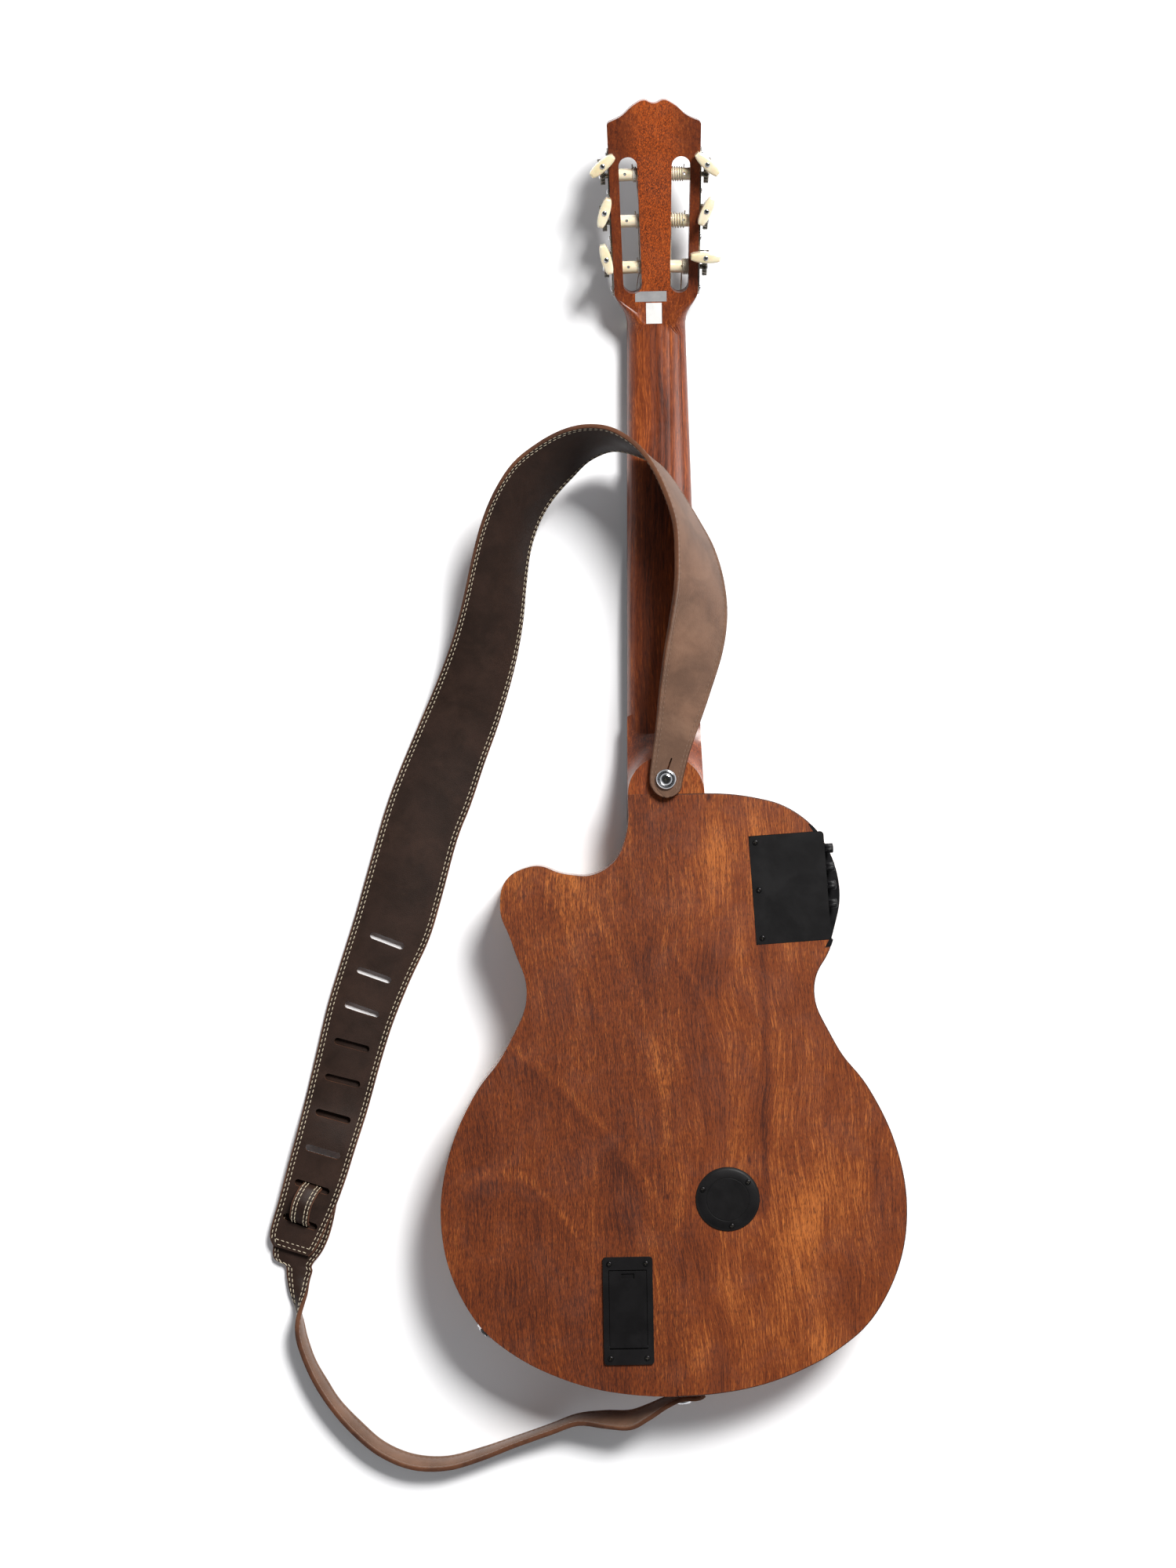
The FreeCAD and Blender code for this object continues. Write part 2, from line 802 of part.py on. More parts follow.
def truss_rod():
    length = nut_front_y * 2 - body_top_y - 2 * fit_clearance
    bar = block(0, (nut_front_y * 2 + body_top_y) / 2, glue_z + fit_clearance, glue_z + rod_depth - fit_clearance,
                rod_width - 2 * fit_clearance, length)
    return bar


# Body woodwork

def preamp_cut(low, high, play):
    """The notch in the back and side for the preamplifier, open at the body's edge."""
    length = preamp_length + 2 * preamp_end_wall + 2 * play
    cutter = Part.makeBox(lower_bout / 2, length, high - low,
                          Vector(-preamp_width / 2 - preamp_lip - play, -length / 2, low))
    return moved(cutter, preamp_place())


preamp_low_z = back_z - preamp_depth


def battery_place():
    return place(battery_x, body_top_y - body_length * battery_share)


def side_rim():
    ring = body_slab(0, top_inner_z, back_inner_z).cut(
        body_slab(side_thickness, top_inner_z - overrun, back_inner_z + overrun))
    window = block(0, body_top_y, top_inner_z - overrun, top_inner_z + tenon_height, tenon_width,
                   2 * side_thickness + overrun)
    spot, outward = jack_spot()
    middle_z = (glue_z + back_z) / 2
    bore = flat_sided(jack_bush_radius + fit_clearance, spot - outward * overrun * 2 + upward * middle_z,
                      spot + outward * overrun + upward * middle_z, roller_sides, True)
    return ring.cut([window, preamp_cut(preamp_low_z - fit_clearance, back_z, fit_clearance), bore])


def top_plate():
    plate = body_slab(0, glue_z, top_inner_z)
    hole = Part.makeCylinder(soundhole_radius, body_depth, Vector(0, soundhole_y, 0))
    return plate.cut(hole)


def back_plate():
    plate = body_slab(0, back_inner_z, back_z)
    bay = moved(block(0, battery_bay_offset, back_inner_z - overrun, back_z + overrun,
                      battery_bay_width + 2 * battery_wall + 2 * fit_clearance,
                      battery_bay_length + 2 * battery_wall + 2 * fit_clearance), battery_place())
    spot = Vector(round_cover_x, body_top_y - body_length * round_cover_share, back_z)
    access = flat_sided(round_cover_hole, spot - upward * overrun, spot + upward * overrun, roller_sides)
    notch = preamp_cut(back_inner_z - overrun, back_z + overrun, fit_clearance)
    return plate.cut([bay, access, notch])


def back_half(side):
    keep = Part.makeBox(lower_bout, body_length * 2, body_depth,
                        Vector(0 if side > 0 else -lower_bout, body_top_y - body_length * 3 / 2, back_z - body_depth / 2))
    return back_plate().common(keep)


def neck_block():
    solid = block(block_offset, body_top_y - side_thickness - block_length / 2, top_inner_z, back_inner_z,
                  block_width, block_length)
    mortise = block(0, body_top_y, top_inner_z - overrun, top_inner_z + tenon_height, tenon_width, 2 * tenon_length)
    rod_way = block(0, body_top_y - block_length, top_inner_z - overrun, glue_z + rod_depth, rod_width,
                    2 * block_length)
    return solid.common(body_slab(side_thickness, top_inner_z, back_inner_z)).cut([mortise, rod_way])


def tail_block():
    y = body_top_y - body_length + side_thickness + tail_block_length / 2
    solid = block(0, y, top_inner_z, back_inner_z, tail_block_width, tail_block_length + 2 * side_thickness)
    solid = solid.common(body_slab(side_thickness, top_inner_z, back_inner_z))
    return solid


def lining_ring(low, high):
    ring = body_slab(side_thickness, low, high).cut(
        body_slab(side_thickness + lining_width, low - overrun, high + overrun))
    blocks = [
        block(block_offset, body_top_y - side_thickness - block_length / 2, low, high, block_width, block_length),
        block(0, body_top_y - body_length, low, high, tail_block_width, 2 * (tail_block_length + lining_width)),
        preamp_cut(preamp_low_z - preamp_wall, back_z, preamp_wall),
    ]
    spot, outward = jack_spot()
    middle_z = (glue_z + back_z) / 2
    blocks.append(flat_sided(jack_nut_radius, spot - outward * jack_body_length + upward * middle_z,
                             spot + upward * middle_z, spindle_sides, True))
    return ring.cut(blocks)


def linings():
    rings = [
        lining_ring(top_inner_z, top_inner_z + lining_height),
        lining_ring(back_inner_z - lining_height, back_inner_z),
    ]
    return Part.makeCompound([s for ring in rings for s in ring.Solids])


def inside(low, high):
    return body_slab(side_thickness + lining_width, low, high)


def strut(y, low, high, clip):
    bar = block(0, y, low, high, lower_bout, brace_width)
    return bar.common(clip)


def top_braces():
    clip = inside(top_inner_z, back_inner_z)
    made = [strut(body_top_y - down, top_inner_z, top_inner_z + harmonic_bar_height, clip)
            for down in harmonic_bar_places]
    made[0] = made[0].cut(block(block_offset, body_top_y, top_inner_z, back_z, block_width, 2 * block_length + overrun))
    start = body_top_y - harmonic_bar_places[1] - brace_width
    for share in fan_spread_shares:
        bar = block(0, -fan_length / 2, top_inner_z, top_inner_z + brace_height, brace_width / 2, fan_length)
        under = block(0, saddle_y - start, top_inner_z - overrun, top_inner_z + bridge_plate_thickness,
                      bridge_length, bridge_plate_width)
        turn = place(share * bridge_length, start, 0, share / fan_spread_shares[-1] * fan_splay)
        made.append(moved(bar, turn).cut(moved(under, place(0, start))).common(clip))
    return Part.makeCompound([s for piece in made for s in piece.Solids])


def bridge_plate():
    return block(0, saddle_y, top_inner_z, top_inner_z + bridge_plate_thickness, bridge_length, bridge_plate_width)


def back_braces():
    clip = inside(preamp_low_z, back_inner_z)
    low = back_inner_z - brace_height
    keep_out = [
        preamp_cut(low - overrun, back_z, preamp_wall),
        moved(block(0, battery_bay_offset, low - overrun, back_z, battery_bay_width + 4 * battery_wall,
                    battery_bay_length + 4 * battery_wall), battery_place()),
        block(round_cover_x, body_top_y - body_length * round_cover_share, low, back_z, 2 * round_cover_radius,
              2 * round_cover_radius),
        block(block_offset, body_top_y, low, back_z, block_width, 2 * block_length + overrun),
    ]
    made = [strut(body_top_y - down, low, back_inner_z, clip).cut(keep_out) for down in back_brace_places]
    seam = block(0, body_top_y - body_length / 2, back_inner_z - seam_strip_thickness, back_inner_z,
                 seam_strip_width, body_length - 2 * block_length - 4 * side_thickness)
    made.append(seam.cut(keep_out + made))
    return Part.makeCompound([s for piece in made for s in piece.Solids])


def heel_cap():
    low, high = back_z - heel_cap_thickness, back_z
    disc = Part.makeCylinder(joint_width / 2, heel_cap_thickness, Vector(0, body_top_y, low))
    return disc.common(heel_clip(low, high))


# Bridge

def bridge():
    middle_y = saddle_y - bridge_width / 2 + bridge_ahead
    low = glue_z - bridge_height
    wings = block(0, middle_y, glue_z - bridge_wing_height, glue_z, bridge_length, bridge_width)
    ends = [e for e in wings.Edges if abs(e.Vertexes[0].Z - e.Vertexes[1].Z) > bridge_wing_height / 2]
    wings = wings.makeFillet(bridge_width / 4, ends)
    tie = block(0, middle_y, low, glue_z - bridge_wing_height, tie_block_length, bridge_width)
    solid = wings.fuse(tie).removeSplitter()
    slot = block(0, saddle_y, low - overrun, low + saddle_slot_depth, saddle_width + 2 * fit_clearance,
                 saddle_thickness + 2 * running_clearance)
    groove_y = saddle_y - saddle_thickness / 2 - tie_groove_width
    wall_cut = block(0, saddle_y - (saddle_thickness + tie_groove_width) / 2, low - overrun,
                     low + saddle_wall_drop, tie_block_length + overrun, tie_groove_width)
    groove = block(0, groove_y, low - overrun, low + tie_groove_depth, tie_block_length + overrun, tie_groove_width)
    holes = [
        flat_sided(diameter_of(n) / 2 + tie_hole_play / 2,
                   Vector(string_x(n, saddle_spread), groove_y, low + tie_hole_depth),
                   Vector(string_x(n, saddle_spread), saddle_y - bridge_width, low + tie_hole_depth),
                   shank_sides, True)
        for n in range(len(string_diameters))
    ]
    return solid.cut([slot, groove, wall_cut] + holes)


def saddle():
    low = glue_z - bridge_height
    solid = block(0, saddle_y, 0, low + saddle_height_in_slot, saddle_width, saddle_thickness)
    return solid.cut(notches(saddle_y, saddle_thickness, saddle_spread))


def pickup():
    low = glue_z - bridge_height
    return block(0, saddle_y, low + saddle_height_in_slot, low + saddle_height_in_slot + pickup_thickness,
                 saddle_width, saddle_thickness)


# Machine heads

def tooth_ring(turn, outward):
    """The wheel's outline at one end, its teeth turned by the given angle."""
    root = wheel_pitch_radius - thread_root_share * wheel_module
    tip = wheel_pitch_radius + thread_addendum_share * wheel_module
    step = 2 * math.pi / wheel_teeth
    root_half, tip_half = step * (tooth_share + tooth_slant_share) / 2, step * (tooth_share - tooth_slant_share) / 2
    points = []
    for tooth in range(wheel_teeth):
        middle = step * (tooth + 1 / 2) + math.radians(wheel_phase + turn)
        for radius, angle in ((root, -root_half), (tip, -tip_half), (tip, tip_half), (root, root_half)):
            points.append(Vector(outward, radius * math.cos(middle + angle), radius * math.sin(middle + angle)))
    return points


def worm_wheel():
    """A wheel whose slanted teeth follow the worm's lead."""
    return faceted([tooth_ring(-wheel_twist, wheel_inner), tooth_ring(wheel_twist, wheel_outer)])


def tuner_roller():
    """The ivory roller, its spindle, the wheel on it and the screw that holds the wheel."""
    inner, outer = -slot_side - roller_bore_depth + running_clearance, side_face - running_clearance
    barrel = flat_sided(roller_radius, Vector(inner, 0, 0), Vector(outer, 0, 0), roller_sides)
    hole = flat_sided(roller_hole_radius, Vector(slot_side / 2, 0, -roller_radius * 2),
                      Vector(slot_side / 2, 0, roller_radius * 2), shank_sides)
    spindle = flat_sided(spindle_radius, Vector(outer, 0, 0), Vector(wheel_inner, 0, 0), spindle_sides)
    head = flat_sided(screw_head_radius, Vector(wheel_outer, 0, 0), Vector(wheel_outer + screw_head_height, 0, 0), screw_sides)
    return barrel.cut(hole).fuse([spindle, worm_wheel(), head]).removeSplitter()


def thread_section(step):
    """The thread's four corners at one step round the worm, from one root to the other."""
    angle = 2 * math.pi * step / worm_steps - math.pi / 2
    rise = worm_lead * (step / worm_steps - worm_turns / 2)
    root = worm_radius - thread_root_share * wheel_module
    crest = worm_radius + thread_addendum_share * wheel_module
    wide, narrow = worm_lead * (tooth_share + tooth_slant_share) / 2, worm_lead * (tooth_share - tooth_slant_share) / 2
    corners = ((root, -wide), (crest, -narrow), (crest, narrow), (root, wide))
    return [Vector(r * math.cos(angle), r * math.sin(angle), rise + h) for r, h in corners]


def worm():
    """The worm's thread in flat facets round its core."""
    steps = int(worm_turns * worm_steps)
    thread = faceted([thread_section(step) for step in range(steps + 1)])
    reach = worm_lead * (worm_turns + 1) / 2
    core_radius = worm_radius - thread_root_share * wheel_module + running_clearance
    core = flat_sided(core_radius, Vector(0, 0, -reach), Vector(0, 0, reach), worm_steps)
    return core.fuse(thread)


lug_low = -lug_inner - lug_thickness
button_base = headstock_thickness - tuner_depth + button_gap


def button_ring(inset, z, angle):
    """A pointed oval, drawn in from its full size by the inset."""
    tip, side = button_length / 2 - inset, button_width / 2 - inset
    ring = []
    for corner in range(button_sides):
        turn = 2 * math.pi * corner / button_sides
        x, y = tip * math.cos(turn), side * math.sin(turn) * abs(math.sin(turn)) ** button_point_share
        ring.append(Vector(x * math.cos(angle) - y * math.sin(angle), x * math.sin(angle) + y * math.cos(angle), z))
    return ring


def tuner_button(angle):
    """The worm on its shaft, the button above and the screw in its end."""
    top, turn = button_base + button_height, math.radians(angle)
    shaft = flat_sided(worm_shaft_radius, Vector(0, 0, lug_low - overrun / 4), Vector(0, 0, button_base), spindle_sides)
    collar_low = lug_inner + lug_thickness + running_clearance
    collar = flat_sided(worm_shaft_radius * 2, Vector(0, 0, collar_low), Vector(0, 0, button_base), spindle_sides)
    levels = ((button_bevel, button_base), (0, button_base + button_bevel), (0, top - button_bevel), (button_bevel, top))
    grip = faceted([button_ring(inset, z, turn) for inset, z in levels])
    screw_head = flat_sided(button_screw_radius, Vector(0, 0, top), Vector(0, 0, top + button_screw_height), spindle_sides)
    return worm().fuse([shaft, collar, grip, screw_head]).removeSplitter()


def tuner_plate():
    """The side plate with its round ends, and the lugs that hold each worm."""
    face = Part.Face(oval(plate_length, plate_height))
    face.Placement = place(side_face, 0, tuner_depth, 90, along)
    solid = face.extrude(across * plate_thickness)
    for forward in tuner_places:
        axis_y = forward + centre_distance
        for low in (lug_low, lug_inner):
            lug = Part.makeBox(worm_axis + lug_outer - side_face, lug_width, lug_thickness,
                               Vector(side_face, axis_y - lug_width / 2, tuner_depth + low))
            solid = solid.fuse(lug)
    solid = solid.removeSplitter()
    for forward in tuner_places:
        axis_y = forward + centre_distance
        solid = solid.cut([
            flat_sided(spindle_radius + running_clearance, Vector(0, forward, tuner_depth),
                       Vector(worm_axis, forward, tuner_depth), spindle_sides, True),
            flat_sided(worm_shaft_radius + running_clearance, Vector(worm_axis, axis_y, tuner_depth - headstock_thickness),
                       Vector(worm_axis, axis_y, tuner_depth + headstock_thickness), spindle_sides, True),
        ])
    return solid.cut([
        flat_sided(screw_shank_radius + running_clearance, Vector(0, y, tuner_depth),
                   Vector(worm_axis, y, tuner_depth), shank_sides, True)
        for y in plate_screw_places
    ])


def tuner_screws():
    made = []
    for side in (-1, 1):
        for y in plate_screw_places:
            one = moved(screw(plate_screw_radius, plate_screw_height, screw_length),
                        place(plate_face, y, tuner_depth, 90, along))
            made.append(seat_on_side(one, side))
    return Part.makeCompound(made)


def tuner_side(number):
    return -1 if number < len(string_diameters) / 2 else 1


def tuner_forward(number):
    """The first and last strings go to the rollers nearest the nut."""
    row = number if tuner_side(number) < 0 else len(string_diameters) - 1 - number
    return tuner_places[row]


# Strings

def string_path(number):
    """The string from the tie block over the saddle and nut and round its roller."""
    side, forward = tuner_side(number), tuner_forward(number)
    thick = diameter_of(number)
    low = glue_z - bridge_height
    at_saddle, at_nut = string_x(number, saddle_spread), string_x(number, nut_spread)
    wrap_radius = roller_radius + thick / 2 + wrap_clearance
    step = thick + wrap_gap
    place_on_roller = wrap_places[number] - step * wrap_turns[number] / 2

    def on_wrap(turn):
        angle = 2 * math.pi * turn
        return side_point(side, place_on_roller + step * turn, forward + wrap_radius * math.sin(angle),
                          tuner_depth - wrap_radius * math.cos(angle))

    def wrap_heading(turn):
        nearby = running_clearance / wrap_radius
        return unit(on_wrap(turn + nearby) - on_wrap(turn - nearby))

    nut_point = Vector(at_nut, nut_back_y, bearing_z(number))
    start_turn = 0.0
    for _ in range(8):
        heading = on_wrap(start_turn) - nut_point
        flat = side_place(side).Rotation.inverted().multVec(heading)
        start_turn = math.atan2(flat.z, flat.y) / (2 * math.pi)
    start = on_wrap(start_turn)
    points = [
        Vector(at_saddle, saddle_y - bridge_width + bridge_ahead - string_tail_share * thick, low + tie_hole_depth),
        Vector(at_saddle, saddle_y - saddle_thickness - tie_groove_width, low + tie_hole_depth),
        Vector(at_saddle, saddle_y - (saddle_thickness + thick) / 2, bearing_z(number)),
        nut_point,
        start,
    ]
    edges = rounded_path(points, [share * thick for share in string_bend_shares])
    heading = unit(start - nut_point)
    samples = []
    halves = int(2 * wrap_turns[number])
    place_now, heading_now = start, heading
    for half in range(1, halves + 1):
        turn = start_turn + half / 2
        after, arrival = on_wrap(turn), wrap_heading(turn)
        pieces = biarc(place_now, heading_now, after, arrival)
        edges += pieces
        samples += [p for piece in pieces for p in piece.discretize(turn_samples + 1)[:-1]]
        place_now, heading_now = after, arrival
    gaps = [
        (a - b).Length - thick for i, a in enumerate(samples) for b in samples[i + 2 * turn_samples:]
    ]
    print(f"string {number + 1}: least gap between turns {min(gaps):.2f} mm")
    return edges


def guitar_string(number):
    return tube(string_path(number), diameter_of(number), string_sides)


# Electrics

def preamp_shelf(low, high, play=0):
    """The preamplifier's outer form, which follows the body's side on the outside."""
    length = preamp_length + 2 * preamp_end_wall - 2 * play
    form = Part.makeBox(lower_bout / 2, length, high - low, Vector(-preamp_width / 2 - preamp_lip, -length / 2, low))
    return moved(form, preamp_place()).common(body_slab(0, low, high))


knob_z = back_z - knob_drop
wall_x = preamp_width / 2


def knob_ys():
    return [knob_first - knob_pitch * n for n in range(4)]


def preamp_housing():
    """A moulded tray with a floor, a wall for the knobs and a ledge out to the body's side."""
    form = preamp_shelf(preamp_low_z, back_z)
    tray = block(0, 0, preamp_low_z + preamp_floor, back_z + overrun, preamp_width - 2 * preamp_wall,
                 preamp_length - 2 * preamp_wall)
    recess = rounded_block(preamp_width, preamp_length, back_z - preamp_cover_thickness, back_z + overrun,
                           preamp_cover_corner)
    ledge = Part.makeBox(lower_bout / 2, preamp_length, preamp_depth, Vector(wall_x, -preamp_length / 2,
                         knob_z - knob_radius - 2 * preamp_floor))
    shafts = [flat_sided(knob_shaft_radius + running_clearance, Vector(wall_x - overrun, y, knob_z),
                         Vector(wall_x + overrun, y, knob_z), spindle_sides, True) for y in knob_ys()]
    return form.cut([moved(s, preamp_place()) for s in [tray, recess, ledge] + shafts])


def preamp_cover():
    return moved(rounded_block(preamp_width - 2 * fit_clearance, preamp_length - 2 * fit_clearance,
                               back_z - preamp_cover_thickness, back_z,
                               preamp_cover_corner - fit_clearance), preamp_place()).cut(pilot_holes())


def preamp_board():
    """The circuit board on the tray's floor with the four pots along its edge."""
    low = preamp_low_z + preamp_floor
    board = block(0, 0, low, low + board_plate_thickness, preamp_width - 4 * preamp_wall,
                  preamp_length - 4 * preamp_wall)
    x = wall_x - preamp_wall - pot_depth / 2 - 2 * fit_clearance
    pots = [block(x, y, low + board_plate_thickness, knob_z + pot_size / 2, pot_depth, pot_size)
            for y in knob_ys()]
    return moved(board.fuse(pots).removeSplitter(), preamp_place())


def knob(place_number):
    """A fluted knob on its shaft, which runs in the wall."""
    y = knob_ys()[place_number]
    start = wall_x + knob_gap
    turns = [math.pi * c / knob_flutes for c in range(2 * knob_flutes)]
    body = faceted([
        [Vector(x, y + r * math.cos(t), knob_z + r * math.sin(t))
         for t, r in zip(turns, (knob_radius, knob_radius - flute_depth) * knob_flutes)]
        for x in (start, start + knob_length)
    ])
    shaft = flat_sided(knob_shaft_radius, Vector(wall_x - preamp_wall - fit_clearance, y, knob_z),
                       Vector(start, y, knob_z), spindle_sides)
    return moved(body.fuse(shaft), preamp_place())


def round_cover():
    turns = [2 * math.pi * c / round_cover_sides for c in range(round_cover_sides)]
    disc = faceted([
        [Vector(r * math.cos(t), r * math.sin(t), back_z + z) for t in turns]
        for r, z in ((round_cover_radius, 0), (round_cover_radius, round_cover_thickness / 2),
                     (round_cover_radius - round_cover_thickness / 2, round_cover_thickness))
    ])
    return moved(disc, place(round_cover_x, body_top_y - body_length * round_cover_share)).cut(pilot_holes())


def battery_frame():
    """The lipped frame on the back with the battery's bay below it."""
    lip = rounded_block(battery_frame_width, battery_frame_length, back_z, back_z + battery_frame_lip, battery_frame_corner)
    low = back_z - battery_bay_depth
    bay = block(0, battery_bay_offset, low, back_z, battery_bay_width + 2 * battery_wall,
                battery_bay_length + 2 * battery_wall)
    hollow = block(0, battery_bay_offset, low + battery_wall, back_z + overrun, battery_bay_width, battery_bay_length)
    solid = lip.fuse(bay).cut(hollow)
    hinge = flat_sided(battery_hinge_radius + running_clearance, battery_hinge_end(-1, fit_clearance),
                       battery_hinge_end(1, fit_clearance), roller_sides, True)
    return moved(solid.cut(hinge), battery_place()).removeSplitter().cut(pilot_holes())


battery_hinge_y = battery_bay_offset - battery_bay_length / 2 + battery_hinge_radius + battery_door_play
battery_hinge_z = back_z + battery_frame_lip - battery_hinge_radius


def battery_hinge_end(side, more):
    reach = battery_bay_width / 2 + battery_wall / 2
    return Vector(side * (reach + more), battery_hinge_y, battery_hinge_z)


def battery_door():
    """The door, level with the frame's lip, on two pins at its lower end."""
    top = back_z + battery_frame_lip
    length = battery_bay_length - battery_hinge_radius - 3 * battery_door_play
    start = battery_hinge_y
    plate = Part.makeBox(battery_bay_width - 2 * battery_door_play, length, battery_door_thickness,
                         Vector(-battery_bay_width / 2 + battery_door_play, start, top - battery_door_thickness))
    pin = flat_sided(battery_hinge_radius, battery_hinge_end(-1, 0), battery_hinge_end(1, 0), roller_sides)
    latch_y = start + length - battery_latch_length
    thumb = block(0, latch_y, top - battery_door_thickness / 2, top + overrun, battery_latch_width, battery_latch_length)
    return moved(plate.fuse(pin).cut(thumb).removeSplitter(), battery_place())


def battery():
    """A nine-volt block battery with its two snap terminals."""
    low = back_z - battery_bay_depth + battery_wall
    middle = battery_bay_offset - battery_bay_length / 2 + battery_length / 2 + overrun / 2
    case = moved(rounded_block(battery_width, battery_length, low, low + battery_height, battery_door_thickness),
                 place(0, middle))
    end = middle + battery_length / 2
    studs = [flat_sided(battery_terminal_radius, Vector(side * battery_width / 4, end, low + battery_height / 2),
                        Vector(side * battery_width / 4, end + battery_terminal_height, low + battery_height / 2),
                        spindle_sides)
             for side in (-1, 1)]
    return moved(case.fuse(studs), battery_place())


def jack_frame():
    """Across the plate, up and outward axes at the jack."""
    spot, outward = jack_spot()
    turn = math.degrees(math.atan2(outward.y, outward.x))
    return place(spot.x, spot.y, (glue_z + back_z) / 2, turn)


def jack_plate():
    """A long oval of sheet metal that follows the side's curve."""
    facets = int(body_length * math.pi / jack_plate_facet)
    rings = [outline.makeOffset2D(gap) for gap in (running_clearance, jack_plate_thickness)]
    walls = []
    for ring in rings:
        corners = ring.discretize(facets + 1)
        walls.append(prism(Part.makePolygon(corners[:-1] + corners[:1]), glue_z, back_z))
    shape = Part.Face(oval(jack_plate_length, jack_plate_height))
    shape.Placement = place(-body_depth, 0, 0, 90, along)
    shape = shape.extrude(across * 2 * body_depth)
    bore = flat_sided(jack_bush_radius + running_clearance, Vector(-body_depth, 0, 0), Vector(body_depth, 0, 0),
                      roller_sides, True)
    piece = walls[1].cut(walls[0]).common(moved(shape, jack_frame())).cut(moved(bore, jack_frame()))
    spot, _ = jack_spot()
    near = [s for s in piece.Solids if (s.CenterOfMass - spot - upward * body_depth).Length < body_depth]
    return near[0].cut(pilot_holes())


def jack():
    """The socket: a threaded bush through the plate, its nut and the barrel inside."""
    bush = flat_sided(jack_bush_radius, Vector(-side_thickness - overrun, 0, 0), Vector(jack_bush_reach, 0, 0), roller_sides)
    nut_low = jack_plate_thickness + fit_clearance
    corners = [
        Vector(nut_low, jack_nut_radius * math.cos(math.pi * c / 3), jack_nut_radius * math.sin(math.pi * c / 3))
        for c in range(7)
    ]
    hexagon = Part.Face(Part.makePolygon(corners)).extrude(across * jack_nut_height)
    barrel = flat_sided(jack_body_radius, Vector(-side_thickness - overrun / 4 - jack_body_length, 0, 0),
                        Vector(-side_thickness - overrun / 4, 0, 0), roller_sides)
    bore = rod(jack_bore, Vector(jack_bush_reach - jack_bore_length, 0, 0), Vector(jack_bush_reach + overrun, 0, 0))
    return moved(bush.fuse([hexagon, barrel]).removeSplitter().cut(bore), jack_frame())


def cover_screw_frames():
    """Where each screw of the covers, battery frame and jack plate sits, its head outward."""
    frames = []
    centre_y = body_top_y - body_length * round_cover_share
    for angle in round_cover_screws:
        x = round_cover_x + round_cover_screw_ring * math.cos(math.radians(angle))
        y = centre_y + round_cover_screw_ring * math.sin(math.radians(angle))
        frames.append(place(x, y, back_z + round_cover_thickness))
    for x_side in (-1, 1):
        for y_side in (-1, 1):
            x = x_side * (battery_frame_width / 2 - battery_screw_inset)
            y = y_side * (battery_frame_length / 2 - battery_screw_inset)
            frames.append(battery_place().multiply(place(x, y, back_z + battery_frame_lip)))
    for y_side in (-1, 0, 1):
        x = -preamp_width / 2 + battery_screw_inset
        y = y_side * (preamp_length / 2 - battery_screw_inset)
        frames.append(preamp_place().multiply(place(x, y, back_z)))
    for side in (-1, 1):
        frames.append(jack_screw_frame(side))
    return frames


def jack_screw_frame(side):
    """The screw near one end of the jack plate, square to the curve there."""
    shift = jack_frame().multVec(Vector(0, side * jack_screw_spread / 2, 0))
    ring = outline.makeOffset2D(jack_plate_thickness)
    flat = Vector(shift.x, shift.y, 0)
    nearest = ring.distToShape(Part.Vertex(flat))[1][0][0]
    outward = unit(flat - nearest)
    inner = body_point(0, jack_share) - nearest
    outward = outward if outward.dot(inner) < 0 else -outward
    return FreeCAD.Placement(nearest + upward * shift.z, FreeCAD.Rotation(upward, outward))


def cover_screws():
    return Part.makeCompound([
        moved(screw(screw_head_radius, screw_head_height, screw_length), frame) for frame in cover_screw_frames()
    ])


def pilot_holes():
    """The holes that the cover screws pass through."""
    hole = flat_sided(screw_shank_radius, Vector(0, 0, -screw_length), Vector(0, 0, overrun), shank_sides)
    return [moved(hole, frame) for frame in cover_screw_frames()]


def strap_button():
    """A strap button that stands on height zero: base, waist and domed head."""
    high = strap_button_base + strap_button_neck
    top = high + strap_button_head
    profile = (
        (button_base_radius, 0), (button_neck_radius, strap_button_base), (button_neck_radius, high),
        (strap_button_radius, high), (strap_button_radius, high + strap_button_rim),
        (strap_button_radius * crown_radius_share, high + strap_button_head * crown_height_share),
        (strap_button_radius * crown_top_share, top),
    )
    turns = [2 * math.pi * c / strap_button_sides for c in range(strap_button_sides)]
    return faceted([[Vector(r * math.cos(t), r * math.sin(t), z) for t in turns] for r, z in profile])


heel_button_y = body_top_y + heel_button_reach
end_button_z = (glue_z + back_z) / 2
end_button_y = outline.distToShape(straight(
    Vector(end_button_x, saddle_y, 0), Vector(end_button_x, saddle_y - body_length, 0)))[1][0][0].y


def strap_buttons():
    heel = moved(strap_button(), place(0, heel_button_y, back_z))
    end = moved(strap_button(), place(end_button_x, end_button_y, end_button_z, 90, across))
    return Part.makeCompound([heel, end])


